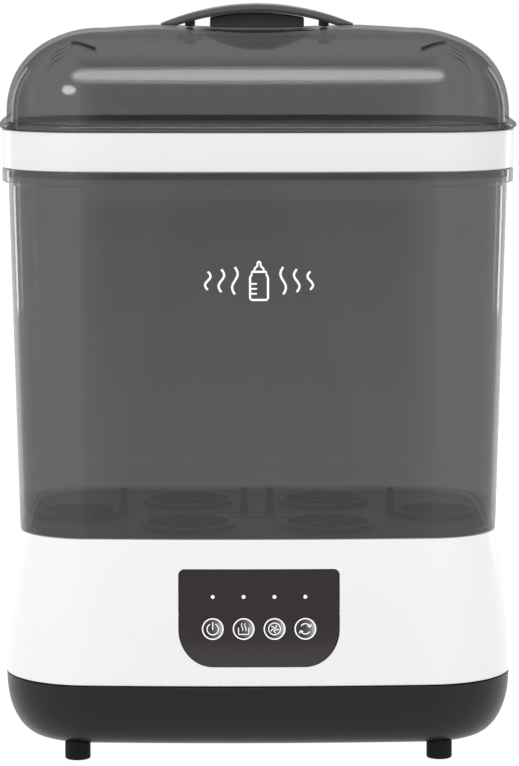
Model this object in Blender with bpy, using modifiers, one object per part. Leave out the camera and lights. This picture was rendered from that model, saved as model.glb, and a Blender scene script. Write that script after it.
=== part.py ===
"""Electric steam bottle sterilizer and dryer, modelled as the separate pieces it comes apart into.

Metres, +Z up. The origin is on the standing surface, at the centre of the footprint. The front, with the
control panel, faces -Y. Sizes below are written in millimetres and multiplied by MM.
"""

import math

import bmesh
import bpy
from mathutils import Matrix, Vector

for old in list(bpy.data.objects):
    bpy.data.objects.remove(old, do_unlink=True)

MM = 0.001
GAP = 0.3  # running gap between neighbouring pieces

# ---------------------------------------------------------------- driving dimensions (mm)
# The plan shape of every level is one bowed rectangle, the spine, grown outwards by an offset.
SPINE_X, SPINE_Y = 81.95, 47.0  # centres of the four corner arcs
BOW_X, BOW_Y = 0.8, 2.5  # how far the short and the long sides bulge
SIDE_RADIUS = (SPINE_Y**2 + BOW_X**2) / (2 * BOW_X)
FRONT_RADIUS = (SPINE_X**2 + BOW_Y**2) / (2 * BOW_Y)
HALF_X = SPINE_X + BOW_X  # half width of the spine at its middle
HALF_Y = SPINE_Y + BOW_Y

SHELL_BOTTOM, SEAM = 8.3, 39.9  # underside of the lower shell, joint line to the housing
LEDGE, DECK = 111.2, 102.0  # where the chamber stands, and the wet deck inside it
CHAMBER_FLANGE, CHAMBER_TOP = 283.3, 290.0
BAND_BOTTOM, BAND_TOP = 290.3, 309.0
LID_FLANGE, LID_FLANGE_TOP, LID_SPRING = 309.5, 312.3, 315.0
LID_RISE, LID_REACH = 40.8, 43.4  # half axes of the shoulder, a superellipse
LID_CENTRE, LID_POWER = 80.3, 2.268  # where the shoulder starts to fall, and how full it is
CROWN_OFFSET = 1.2  # where the shoulder meets the crown
CROWN_RISE = 3.4

WALL = 2.2
CHAMBER_WALL = 2.4

PLATE_CENTRE = (0.0, -16.0)
FAN_CENTRE = (0.0, 8.0)
DUCT_Y = 65.0
FOOT_X, FOOT_Y, FOOT_R = 89.2, 71.5, 6.3
POST_X, POST_Y = 72.0, 48.0

BUTTON_X = (-22.5, -7.5, 7.5, 22.5)
BUTTON_Z, LED_Z = 68.27, 83.7
BUTTON_NAMES = ("power_button", "sterilize_button", "dry_button", "cycle_button")
PANEL_INSET, PANEL_THICK = 0.5, 2.4
CORNER_STEPS = 4  # facets in each quarter turn of the plan shape

ARCH_TOP, ARCH_UNDER = 369.05, 364.7
ARCH_DROP, ARCH_UNDER_DROP = 0.00425, 0.00416
CHANNEL_LOW, CHANNEL_HALF, CHANNEL_RISE = 356.4, 50.0, 1.6
LEG_X = 33.5

# ---------------------------------------------------------------- collections and materials
parts = bpy.data.collections.new("bottle_sterilizer")
tools = bpy.data.collections.new("cutters")
for collection in (parts, tools):
    bpy.context.scene.collection.children.link(collection)


def material(name, colour, roughness, metallic=0.0, alpha=1.0):
    made = bpy.data.materials.new(name)
    made.use_nodes = True
    shader = made.node_tree.nodes["Principled BSDF"]
    shader.inputs["Base Color"].default_value = (*colour, 1.0)
    shader.inputs["Roughness"].default_value = roughness
    shader.inputs["Metallic"].default_value = metallic
    shader.inputs["Alpha"].default_value = alpha
    made.diffuse_color = (*colour, alpha)
    return made


WHITE = material("white_gloss_plastic", (0.82, 0.82, 0.82), 0.25)
BLACK = material("black_satin_plastic", (0.02, 0.02, 0.022), 0.35)
SMOKE = material("smoke_clear_plastic", (0.10, 0.105, 0.11), 0.12, alpha=0.7)
HANDLE = material("dark_grey_plastic", (0.12, 0.12, 0.125), 0.4)
GRIP = material("grip_plastic", (0.03, 0.03, 0.032), 0.5)
PANEL = material("panel_gloss", (0.035, 0.03, 0.031), 0.1)
BUTTON = material("button_gloss", (0.05, 0.045, 0.046), 0.15)
LENS = material("led_lens", (0.9, 0.9, 0.9), 0.3)
STEEL = material("stainless_plate", (0.62, 0.62, 0.63), 0.25, 1.0)
SCREW = material("zinc_screw", (0.5, 0.5, 0.5), 0.35, 1.0)
RUBBER = material("rubber", (0.02, 0.02, 0.02), 0.7)
GREY = material("grey_inner_plastic", (0.3, 0.31, 0.32), 0.45)
ALLOY = material("cast_alloy", (0.6, 0.6, 0.6), 0.5, 1.0)
BOARD = material("circuit_board", (0.02, 0.12, 0.05), 0.4)
PAPER = material("filter_paper", (0.85, 0.86, 0.85), 0.9)
SILICONE = material("silicone", (0.7, 0.7, 0.68), 0.6)


# ---------------------------------------------------------------- making and joining solids
def object_of(name, bm, finish, sharp=35.0):
    mesh = bpy.data.meshes.new(name)
    bm.to_mesh(mesh)
    bm.free()
    mesh.shade_smooth()
    mesh.set_sharp_from_angle(angle=math.radians(sharp))
    obj = bpy.data.objects.new(name, mesh)
    if finish is None:
        tools.objects.link(obj)
        obj.hide_render = True
        obj.display_type = "WIRE"
    else:
        parts.objects.link(obj)
        mesh.materials.append(finish)
    return obj


def move(bm, matrix):
    bmesh.ops.transform(bm, matrix=matrix, verts=bm.verts)


def box(name, low, high, finish=None, turn=None):
    """A block between two corners; turn is a matrix about its own centre."""
    low, high = Vector(low) * MM, Vector(high) * MM
    size = high - low
    bm = bmesh.new()
    bmesh.ops.create_cube(bm, size=1.0)
    placed = Matrix.Translation((low + high) / 2)
    if turn is not None:
        placed = placed @ turn
    move(bm, placed @ Matrix.Diagonal((*size, 1.0)))
    return object_of(name, bm, finish)


def cylinder(name, radius, low, high, centre=(0.0, 0.0), finish=None, sides=24, top=None):
    """An upright round bar, or a cone when top gives another radius."""
    bm = bmesh.new()
    bmesh.ops.create_cone(
        bm,
        cap_ends=True,
        segments=sides,
        radius1=radius * MM,
        radius2=(radius if top is None else top) * MM,
        depth=(high - low) * MM,
    )
    move(bm, Matrix.Translation(Vector((centre[0], centre[1], (low + high) / 2)) * MM))
    return object_of(name, bm, finish)


def lathe(name, profile, finish=None, steps=24, closed=False, centre=(0.0, 0.0)):
    """A profile of (radius, height), from the top outwards and down, turned once about Z."""
    bm = bmesh.new()
    made = [bm.verts.new((r * MM, 0.0, z * MM)) for r, z in profile]
    for a, b in zip(made, made[1:]):
        bm.edges.new((a, b))
    if closed:
        bm.edges.new((made[-1], made[0]))
    obj = object_of(name, bm, finish)
    turned = obj.modifiers.new("Turn", "SCREW")
    turned.angle = 2 * math.pi
    turned.steps = turned.render_steps = steps
    turned.use_merge_vertices = True
    turned.merge_threshold = 1e-6
    obj.location = (centre[0] * MM, centre[1] * MM, 0.0)
    return obj


def solid_mesh(obj):
    """The object's evaluated mesh, closed and facing out, in place of its modifiers."""
    view = bpy.context.evaluated_depsgraph_get()
    view.update()
    mesh = bpy.data.meshes.new_from_object(obj.evaluated_get(view), depsgraph=view)
    bm = bmesh.new()
    bm.from_mesh(mesh)
    bmesh.ops.remove_doubles(bm, verts=bm.verts, dist=1e-6)
    bmesh.ops.recalc_face_normals(bm, faces=bm.faces)
    bm.to_mesh(mesh)
    bm.free()
    return mesh


def outline(name, points, depth, finish=None, matrix=None):
    """A flat outline of (u, v), extruded evenly to both sides by half of depth, then placed by matrix."""
    curve = bpy.data.curves.new(name + "_outline", "CURVE")
    curve.dimensions = "2D"
    curve.fill_mode = "BOTH"
    curve.extrude = depth * MM / 2
    spline = curve.splines.new("POLY")
    spline.points.add(len(points) - 1)
    for point, (u, v) in zip(spline.points, points):
        point.co = (u * MM, v * MM, 0.0, 1.0)
    spline.use_cyclic_u = True
    guide = bpy.data.objects.new(name + "_outline", curve)
    tools.objects.link(guide)
    mesh = solid_mesh(guide)
    bpy.data.objects.remove(guide, do_unlink=True)
    bm = bmesh.new()
    bm.from_mesh(mesh)
    if matrix is not None:
        move(bm, matrix)
    bmesh.ops.recalc_face_normals(bm, faces=bm.faces)
    return object_of(name, bm, finish)


UPRIGHT = Matrix.Rotation(math.radians(90), 4, "X")  # an XY outline stood up in the XZ plane


def hide(obj):
    """A solid that is only there to shape another."""
    obj.hide_render = True
    obj.display_type = "WIRE"
    if obj.name not in tools.objects:
        for owner in list(obj.users_collection):
            owner.objects.unlink(obj)
        tools.objects.link(obj)
    return obj


def combine(obj, operation, others):
    for other in others:
        hide(other)
        step = obj.modifiers.new(operation.title(), "BOOLEAN")
        step.operation = operation
        step.solver = "EXACT"
        step.object = other
    return obj


def cut(obj, *others):
    return combine(obj, "DIFFERENCE", others)


def join(obj, *others):
    return combine(obj, "UNION", others)


def group(name, solids):
    """Several separate solids as one tool."""
    bm = bmesh.new()
    for solid in solids:
        bm.from_mesh(solid.data)
        bpy.data.objects.remove(solid, do_unlink=True)
    return object_of(name, bm, None)


# ---------------------------------------------------------------- the plan shape
def ring(offset, xs=(-40.0, 0.0, 40.0), ys=(0.0,), corner=CORNER_STEPS, z=0.0):
    """Points, counter-clockwise from above, of the spine grown by offset, at height z (metres)."""
    side = math.degrees(math.asin(SPINE_Y / SIDE_RADIUS))
    front = math.degrees(math.asin(SPINE_X / FRONT_RADIUS))
    points = []

    def arc(cx, cy, start, stop):
        for step in range(corner + 1):
            angle = math.radians(start + (stop - start) * step / corner)
            points.append((cx + offset * math.cos(angle), cy + offset * math.sin(angle)))

    def along_x(x, sign):
        angle = math.asin(x / FRONT_RADIUS)
        reach = FRONT_RADIUS + offset
        points.append((reach * math.sin(angle), sign * (HALF_Y - FRONT_RADIUS + reach * math.cos(angle))))

    def along_y(y, sign):
        angle = math.asin(y / SIDE_RADIUS)
        reach = SIDE_RADIUS + offset
        points.append((sign * (HALF_X - SIDE_RADIUS + reach * math.cos(angle)), reach * math.sin(angle)))

    arc(SPINE_X, -SPINE_Y, -90 + front, -side)
    for y in ys:
        along_y(y, 1)
    arc(SPINE_X, SPINE_Y, side, 90 - front)
    for x in reversed(xs):
        along_x(x, 1)
    arc(-SPINE_X, SPINE_Y, 90 + front, 180 - side)
    for y in reversed(ys):
        along_y(y, -1)
    arc(-SPINE_X, -SPINE_Y, 180 + side, 270 - front)
    for x in xs:
        along_x(x, -1)
    return [(x * MM, y * MM, z * MM) for x, y in points]


def loft(name, rings, finish=None, start=False, end=False, closed=False):
    """A skin through rings of equal count, in the order that faces it outwards, with flat ends where asked."""
    bm = bmesh.new()
    rows = [[bm.verts.new(point) for point in points] for points in rings]
    pairs = list(zip(rows, rows[1:]))
    if closed:
        pairs.append((rows[-1], rows[0]))
    for low, high in pairs:
        for here in range(len(low)):
            there = (here + 1) % len(low)
            bm.faces.new((low[here], low[there], high[there], high[here]))
    if start:
        bm.faces.new(list(reversed(rows[0])))
    if end:
        bm.faces.new(rows[-1])
    return object_of(name, bm, finish)


def thicken(obj, thickness):
    """Turns an open skin into a shell, inwards."""
    step = obj.modifiers.new("Wall", "SOLIDIFY")
    step.thickness = thickness * MM
    step.offset = -1.0
    step.use_even_offset = True
    step.use_quality_normals = True
    return obj


def levels(profile, **plan):
    """Rings for a list of (offset, height)."""
    return [ring(offset, z=height, **plan) for offset, height in profile]


# ---------------------------------------------------------------- side profiles
def lower_offset(angle):
    """The lower shell's rounded flank, from its flat underside (90 degrees) to its waist (0)."""
    power = 2 / 2.06
    reach = 107.96 + 17.92 * max(0.0, math.cos(math.radians(angle))) ** power
    height = 38.0 - (38.0 - SHELL_BOTTOM) * math.sin(math.radians(angle)) ** power
    return reach - HALF_X, height


def lower_profile(grow=0.0):
    flank = [lower_offset(angle) for angle in (90, 72, 54, 36, 14)]
    flank = [(offset + grow, height - grow) for offset, height in flank]
    return flank + [(43.15 + grow, 38.0), (43.35 + grow, SEAM - GAP)]


def housing_offset(height):
    return 126.25 - 7.63 * max(0.0, (height - SEAM) / 71.3) ** 1.55 - HALF_X


def housing_slope(height):
    """Angle by which the housing's front leans back at a height (radians)."""
    return math.atan(7.63 * 1.55 / 71.3 * max(0.0, (height - SEAM) / 71.3) ** 0.55)


def chamber_offset(height):
    return 118.78 + 0.02486 * (height - LEDGE) - HALF_X


def shoulder_height(offset):
    reach = min(1.0, max(0.0, (HALF_X + offset - LID_CENTRE) / LID_REACH))
    return LID_SPRING + LID_RISE * (1 - reach**LID_POWER) ** (1 / LID_POWER)


def front_point(x, height, inset=0.0):
    """A point on the housing's front face, inset from it, and the face's outward direction."""
    reach = FRONT_RADIUS + housing_offset(height) - inset
    y = -(HALF_Y - FRONT_RADIUS + math.sqrt(reach**2 - x**2))
    lean = housing_slope(height)
    side = x / reach
    normal = Vector((side, -math.cos(lean), math.sin(lean))).normalized()
    return Vector((x, y, height)) * MM, normal


def facing(point, normal):
    """A frame whose +Z is the outward direction at a point and whose +Y is up."""
    across = Vector((0, 0, 1)).cross(normal).normalized()
    up = normal.cross(across)
    frame = Matrix((across, up, normal)).transposed().to_4x4()
    return Matrix.Translation(point) @ frame


# ---------------------------------------------------------------- lower shell and feet
bottom_shell = thicken(loft("bottom_shell", levels(lower_profile()), BLACK, start=True), 2.4)
fx, fy = FAN_CENTRE
collar = box("filter_collar", (-38.2, fy - 28.2, 8.5), (38.2, fy + 28.2, 25.7))
bosses = [
    cylinder("boss_%d" % index, 6.5, 8.5, 15.0, (sx * POST_X, sy * POST_Y), sides=16)
    for index, (sx, sy) in enumerate(((1, 1), (-1, 1), (-1, -1), (1, -1)))
]
foot_holes = [
    cylinder("foot_hole_%d" % index, 2.9, 3.0, 18.0, (sx * FOOT_X, sy * FOOT_Y), sides=12)
    for index, (sx, sy) in enumerate(((1, 1), (-1, 1), (-1, -1), (1, -1)))
]
boss_bores = [
    cylinder("boss_bore_%d" % index, 2.2, 5.0, 18.0, (sx * POST_X, sy * POST_Y), sides=12)
    for index, (sx, sy) in enumerate(((1, 1), (-1, 1), (-1, -1), (1, -1)))
]
boss_recesses = [
    cylinder("boss_recess_%d" % index, 4.3, 5.0, 11.6, (sx * POST_X, sy * POST_Y), sides=16)
    for index, (sx, sy) in enumerate(((1, 1), (-1, 1), (-1, -1), (1, -1)))
]
join(bottom_shell, group("bosses", bosses), collar)
cut(
    bottom_shell,
    box("filter_opening", (-36.0, fy - 26.0, 5.0), (36.0, fy + 26.0, 30.0)),
    group("foot_holes", foot_holes),
    group("boss_recesses", boss_recesses),
    group("boss_bores", boss_bores),
)

under = loft("under_form", levels(lower_profile(GAP) + [(43.8, 60.0)]), None, start=True, end=True)
for label, sx, sy in (
    ("front_left", -1, -1),
    ("front_right", 1, -1),
    ("rear_left", -1, 1),
    ("rear_right", 1, 1),
):
    centre = (sx * FOOT_X, sy * FOOT_Y)
    foot = lathe(
        "foot_" + label,
        [(0, 20.0), (FOOT_R, 20.0), (FOOT_R, 0.8), (FOOT_R - 0.8, 0.0), (0, 0.0)],
        RUBBER,
        steps=20,
        centre=centre,
    )
    cut(foot, under)
    join(foot, cylinder("foot_stem_" + label, 2.5, 5.0, 15.0, centre, sides=12))

for index, (sx, sy) in enumerate(((-1, -1), (1, -1), (-1, 1), (1, 1))):
    lathe(
        "base_screw_%d" % (index + 1),
        [(0, 26.0), (1.5, 26.0), (1.5, 11.2), (3.6, 11.2), (3.6, 9.2), (0, 9.2)],
        SCREW,
        steps=12,
        centre=(sx * POST_X, sy * POST_Y),
    )

# ---------------------------------------------------------------- filter on the underside
filter_cover = box("filter_cover", (-35.7, fy - 25.7, 7.4), (35.7, fy + 25.7, 9.3), BLACK)
cut(
    filter_cover,
    group(
        "cover_slots",
        [box("cover_slot_%d" % n, (-26.0, fy - 18.5 + 6 * n, 5.0), (26.0, fy - 15.9 + 6 * n, 12.0)) for n in range(7)],
    ),
)
hepa_filter = box("hepa_filter", (-34.5, fy - 24.5, 9.6), (34.5, fy + 24.5, 21.6), PAPER)
cut(
    hepa_filter,
    group(
        "pleats",
        [box("pleat_%d" % n, (-32.0, fy - 21.5 + 5 * n, 16.5), (32.0, fy - 19.0 + 5 * n, 24.0)) for n in range(9)],
    ),
)

# ---------------------------------------------------------------- white housing
housing_heights = (SEAM + GAP, 52.0, 65.0, 80.0, 96.0, LEDGE)
housing_profile = [(housing_offset(height), height) for height in housing_heights]
RECESS = 31.0  # offset of the basin's wall
housing_profile += [(RECESS, LEDGE), (RECESS - 0.2, DECK)]
base_housing = thicken(loft("base_housing", levels(housing_profile), WHITE, end=True), WALL)


def panel_outline(grow=0.0):
    """The control window: small round corners above, wide elliptical ones below."""
    half, low, high = 39.0 + grow, 49.85 - grow, 96.9 + grow
    points = []
    for cx, cz, rx, rz, start in (
        (half - 17, low + 18.5, 17, 18.5, -90),
        (half - 3, high - 3, 3, 3, 0),
        (-half + 3, high - 3, 3, 3, 90),
        (-half + 17, low + 18.5, 17, 18.5, 180),
    ):
        steps = 3 if rx < 5 else 8
        for step in range(steps + 1):
            angle = math.radians(start + 90 * step / steps)
            points.append((cx + rx * math.cos(angle), cz + rz * math.sin(angle)))
    return points


window = outline("panel_window", panel_outline(GAP), 60.0, None, Matrix.Translation((0, -0.095, 0)) @ UPRIGHT)
posts = [
    cylinder("post_%d" % index, 4.2, 15.3, DECK - 1.0, (sx * POST_X, sy * POST_Y), sides=12)
    for index, (sx, sy) in enumerate(((1, 1), (-1, 1), (-1, -1), (1, -1)))
]
post_bores = [
    cylinder("post_bore_%d" % index, 2.0, 12.0, 30.0, (sx * POST_X, sy * POST_Y), sides=12)
    for index, (sx, sy) in enumerate(((1, 1), (-1, 1), (-1, -1), (1, -1)))
]
INLET_X, INLET_Z = 62.0, 58.0
join(base_housing, group("posts", posts))
cut(
    base_housing,
    window,
    group("post_bores", post_bores),
    cylinder("plate_opening", 47.0, 90.0, 108.0, PLATE_CENTRE, sides=28),
    box("air_opening", (-30.0, DUCT_Y - 6.0, 90.0), (30.0, DUCT_Y + 6.0, 108.0)),
    box("inlet_opening", (INLET_X - 12.8, 80.0, INLET_Z - 8.3), (INLET_X + 12.8, 100.0, INLET_Z + 8.3)),
)

# mains inlet for a two-pin lead, in the rear wall
power_inlet = box("power_inlet", (INLET_X - 12.5, 76.0, INLET_Z - 8.0), (INLET_X + 12.5, 90.8, INLET_Z + 8.0), BLACK)
cut(
    power_inlet,
    outline(
        "inlet_recess",
        [(INLET_X + u, INLET_Z + v) for u, v in ((-8.5, -2.6), (-6, -4.4), (6, -4.4), (8.5, -2.6), (8.5, 2.6), (6, 4.4), (-6, 4.4), (-8.5, 2.6))],
        20.0,
        None,
        Matrix.Translation((0, 0.0915, 0)) @ UPRIGHT,
    ),
)
for side in (-1, 1):
    pin = cylinder("inlet_pin", 1.2, 0.0, 9.0, sides=10)
    pin.data.transform(Matrix.Rotation(math.radians(-90), 4, "X"))
    pin.data.transform(Matrix.Translation(Vector((INLET_X + side * 4.3, 80.5, INLET_Z)) * MM))
    join(power_inlet, pin)

# ---------------------------------------------------------------- water plate and its heater
PLATE_FLOOR = 89.2
lathe(
    "heating_plate",
    [
        (0, PLATE_FLOOR),
        (39.0, PLATE_FLOOR),
        (41.5, PLATE_FLOOR + 1.2),
        (43.5, 96.5),
        (44.6, 97.7),
        (53.0, 97.7),
        (53.0, 96.5),
        (45.4, 96.3),
        (43.0, PLATE_FLOOR - 0.2),
        (40.0, PLATE_FLOOR - 1.2),
        (0, PLATE_FLOOR - 1.2),
    ],
    STEEL,
    steps=28,
    centre=PLATE_CENTRE,
)
lathe("plate_gasket", [(47.4, 99.5), (53.0, 99.5), (53.0, 98.0), (47.4, 98.0)], SILICONE, 28, True, PLATE_CENTRE)
lathe("heater_ring", [(28.0, 87.7), (36.0, 87.7), (36.0, 84.0), (34.0, 82.0), (30.0, 82.0), (28.0, 84.0)], ALLOY, 24, True, PLATE_CENTRE)
lathe(
    "thermostat",
    [(0, 87.7), (11.0, 87.7), (11.0, 86.5), (8.5, 86.5), (8.5, 79.0), (2.0, 79.0), (2.0, 74.0), (0, 74.0)],
    ALLOY,
    16,
    centre=PLATE_CENTRE,
)

# ---------------------------------------------------------------- drying air: hood, duct, heater, blower
air_outlet_grille = box("air_outlet_grille", (-34.0, DUCT_Y - 9.0, DECK + GAP), (34.0, DUCT_Y + 9.0, DECK + 4.0), WHITE)
cut(
    air_outlet_grille,
    box("hood_inside", (-31.6, DUCT_Y - 6.8, DECK - 2.0), (31.6, DUCT_Y + 6.8, DECK + 2.6)),
    group(
        "hood_slots",
        [box("hood_slot_%d" % n, (-29.0 + 7.5 * n, DUCT_Y - 12.0, DECK + 0.8), (-24.5 + 7.5 * n, DUCT_Y - 4.0, DECK + 2.2)) for n in range(8)],
    ),
)
air_duct = box("air_duct", (-32.4, DUCT_Y - 8.0, 26.0), (32.4, DUCT_Y + 8.0, 99.5), GREY)
cut(
    air_duct,
    box("duct_inside", (-30.6, DUCT_Y - 6.2, 28.0), (30.6, DUCT_Y + 6.2, 105.0)),
    box("duct_window", (4.4, DUCT_Y - 12.0, 28.4), (28.0, DUCT_Y - 4.0, 45.6)),
)
ptc_heater = box("ptc_heater", (-30.2, DUCT_Y - 5.8, 64.0), (30.2, DUCT_Y + 5.8, 78.0), ALLOY)
cut(
    ptc_heater,
    group(
        "fins",
        [box("fin_%d" % n, (-28.4 + 5.2 * n, DUCT_Y - 4.2, 60.0), (-25.0 + 5.2 * n, DUCT_Y + 4.2, 82.0)) for n in range(11)],
    ),
)
fan_housing = cylinder("fan_housing", 40.0, 26.0, 48.0, FAN_CENTRE, GREY, sides=32)
join(fan_housing, box("blower_mouth", (2.2, fy, 26.2), (30.4, DUCT_Y - 8.3, 47.8)))
cut(
    fan_housing,
    cylinder("blower_inside", 37.6, 28.4, 45.6, FAN_CENTRE, sides=32),
    box("mouth_inside", (4.4, fy + 2.0, 28.4), (28.0, DUCT_Y + 4.0, 45.6)),
    cylinder("blower_inlet", 24.0, 20.0, 32.0, FAN_CENTRE, sides=24),
    cylinder("motor_opening", 6.0, 40.0, 55.0, FAN_CENTRE, sides=16),
)
lathe(
    "fan_motor",
    [(0, 66.0), (12.0, 66.0), (15.0, 63.0), (15.0, 48.4), (5.2, 48.4), (5.2, 46.2), (1.5, 46.2), (1.5, 37.0), (0, 37.0)],
    ALLOY,
    20,
    centre=FAN_CENTRE,
)

BLADES = 15
fan = lathe(
    "fan_impeller",
    [(0, 44.9), (30.0, 44.9), (30.0, 43.4), (5.5, 43.4), (5.5, 34.0), (0, 34.0)],
    BLACK,
    BLADES * 2,
    centre=FAN_CENTRE,
)
blades = []
for n in range(BLADES):
    blade = box("blade", (22.5, -0.7, 31.0), (29.5, 0.7, 43.9))
    turn = Matrix.Translation(Vector((fx, fy, 0)) * MM) @ Matrix.Rotation(2 * math.pi * (n + 0.5) / BLADES, 4, "Z")
    pitch = Matrix.Translation((0.026, 0, 0)) @ Matrix.Rotation(math.radians(28), 4, "Z") @ Matrix.Translation((-0.026, 0, 0))
    blade.data.transform(turn @ pitch)
    blades.append(blade)
join(
    fan,
    group("blades", blades),
    lathe("blade_band", [(22.9, 32.2), (29.6, 32.2), (29.6, 30.2), (22.9, 30.2)], None, BLADES * 2, True, FAN_CENTRE),
)
cut(fan, cylinder("shaft_bore", 1.85, 36.0, 50.0, FAN_CENTRE, sides=12))

# ---------------------------------------------------------------- boards
main_pcb = box("main_pcb", (-106.0, -32.0, 52.0), (-48.0, 30.0, 53.6), BOARD)
join(
    main_pcb,
    box("relay", (-100.0, -26.0, 53.0), (-81.0, -11.0, 69.0)),
    box("transformer", (-100.0, 2.0, 53.0), (-78.0, 24.0, 72.0)),
    cylinder("capacitor", 6.0, 53.0, 74.0, (-62.0, -18.0), sides=12),
    box("terminal", (-70.0, 8.0, 53.0), (-54.0, 18.0, 64.0)),
)

slab = bmesh.new()
columns, rows = 6, 6
grid = [
    [
        slab.verts.new(front_point(-41.0 + 82.0 * i / columns, 47.6 + 51.4 * j / rows, PANEL_INSET)[0])
        for i in range(columns + 1)
    ]
    for j in range(rows + 1)
]
for j in range(rows):
    for i in range(columns):
        slab.faces.new((grid[j][i], grid[j][i + 1], grid[j + 1][i + 1], grid[j + 1][i]))
control_panel = thicken(object_of("control_panel", slab, PANEL), PANEL_THICK)
combine(
    control_panel,
    "INTERSECT",
    [outline("panel_form", panel_outline(), 60.0, None, Matrix.Translation((0, -0.095, 0)) @ UPRIGHT)],
)

button_holes, led_holes = [], []
for index, (x, name) in enumerate(zip(BUTTON_X, BUTTON_NAMES)):
    place = facing(*front_point(x, BUTTON_Z, PANEL_INSET))
    button = lathe(
        name,
        [(0, 0), (5.0, 0), (5.35, -0.35), (5.35, -2.9), (6.2, -2.9), (6.2, -3.9), (1.6, -3.9), (1.6, -5.9), (0, -5.9)],
        BUTTON,
        20,
    )
    button.matrix_world = place
    hole = cylinder("hole", 5.7, -8.0, 6.0, sides=20)
    hole.data.transform(place)
    button_holes.append(hole)
    place = facing(*front_point(x, LED_Z, PANEL_INSET))
    lens = lathe("led_lens_%d" % (index + 1), [(0, 0), (0.8, 0), (1.0, -0.2), (1.0, -4.0), (0, -4.0)], LENS, 12)
    lens.matrix_world = place
    hole = cylinder("hole", 1.35, -8.0, 6.0, sides=12)
    hole.data.transform(place)
    led_holes.append(hole)
cut(control_panel, group("button_holes", button_holes), group("led_holes", led_holes))

place = facing(*front_point(0.0, 75.0, PANEL_INSET))
control_pcb = box("control_pcb", (-34.0, -17.0, -10.2), (34.0, 17.0, -8.6), BOARD)
control_pcb.data.transform(place)
for n, x in enumerate(BUTTON_X):
    switch = box("switch_%d" % n, (x - 3.0, -9.9, -9.0), (x + 3.0, -3.9, -7.4))
    switch.data.transform(place)
    join(control_pcb, switch)

# ---------------------------------------------------------------- bottle rack
RACK_TOP, RACK_UNDER = 109.3, 106.5
bottle_rack = loft("bottle_rack", levels([(29.6, RACK_UNDER), (30.5, RACK_UNDER + 1.0), (30.5, RACK_TOP)]), GREY, start=True, end=True)
WELLS = [(sx * 35.0, sy * 36.0, 21.0) for sy in (-1, 1) for sx in (-1, 1)] + [(-90.5, 0.0, 19.0), (90.5, 0.0, 19.0)]
LEGS = [(-68.0, 0.0), (68.0, 0.0), (-68.0, -66.0), (68.0, -66.0), (-68.0, 66.0), (68.0, 66.0), (0.0, -72.0)]
join(
    bottle_rack,
    group("rack_legs", [cylinder("leg", 3.0, DECK + GAP, RACK_TOP - 1.5, at, sides=10) for at in LEGS]),
    group("well_collars", [cylinder("collar", r + 2.4, RACK_TOP - 1.3, 112.3, (x, y), sides=20) for x, y, r in WELLS]),
    group("teat_pegs", [cylinder("peg", 2.6, RACK_TOP - 1.1, 123.4, (x, 0.0), sides=10, top=1.6) for x in (-68.0, -6.5, 6.5, 68.0)]),
)
cut(
    bottle_rack,
    group("well_bores", [cylinder("bore", r, 100.0, 120.0, (x, y), sides=20) for x, y, r in WELLS]),
    box("rack_slots_a", (-22.0, -9.0, 100.0), (22.0, -6.5, 120.0)),
    box("rack_slots_b", (-22.0, 6.5, 100.0), (22.0, 9.0, 120.0)),
)

# ---------------------------------------------------------------- chamber
chamber_profile = [(31.4, LEDGE + GAP), (chamber_offset(LEDGE), LEDGE + GAP)]
chamber_profile += [(chamber_offset(height), height) for height in (170.0, 228.0)]
chamber_profile += [(chamber_offset(CHAMBER_FLANGE), CHAMBER_FLANGE), (43.3, CHAMBER_FLANGE), (43.3, CHAMBER_TOP)]
thicken(loft("chamber_shell", levels(chamber_profile), SMOKE), CHAMBER_WALL)

# ---------------------------------------------------------------- accessory tray
tray_profile = [(40.2, 286.3), (40.2, BAND_BOTTOM), (43.3, BAND_BOTTOM), (43.6, BAND_TOP)]
accessory_tray = thicken(loft("accessory_tray", levels(tray_profile), WHITE, start=True), WALL)
slots = []
for n in range(13):
    x = -96.0 + 16.0 * n
    for low, high in ((-60.0, -8.0), (8.0, 60.0)):
        slots.append(box("slot", (x - 3.2, low, 280.0), (x + 3.2, high, 292.0)))
cut(accessory_tray, group("tray_slots", slots))

# ---------------------------------------------------------------- lid
LID_XS = (-50.0, -36.0, -30.0, -24.0, -12.0, 0.0, 12.0, 24.0, 30.0, 36.0, 50.0)
LID_YS = (-36.0, -27.0, -16.0, -7.0, 7.0, 16.0, 27.0, 36.0)


def channel(x):
    """Height of the dip that runs across the crown under the handle."""
    return CHANNEL_LOW + CHANNEL_RISE * (x / CHANNEL_HALF) ** 2


def scoop(x, y):
    """Depth of the finger hollows before and behind the grip."""
    reach = (x / 29.0) ** 2 + ((abs(y) - 21.0) / 15.0) ** 2
    return 8.0 * (1 - min(1.0, reach)) ** 1.2


def crown(x, y, reach):
    """Height of the lid's top; reach runs from 0 at the centre to 1 at the shoulder."""
    return min(LID_SPRING + LID_RISE + CROWN_RISE * (1 - reach**2), channel(x)) - scoop(x, y)


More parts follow.
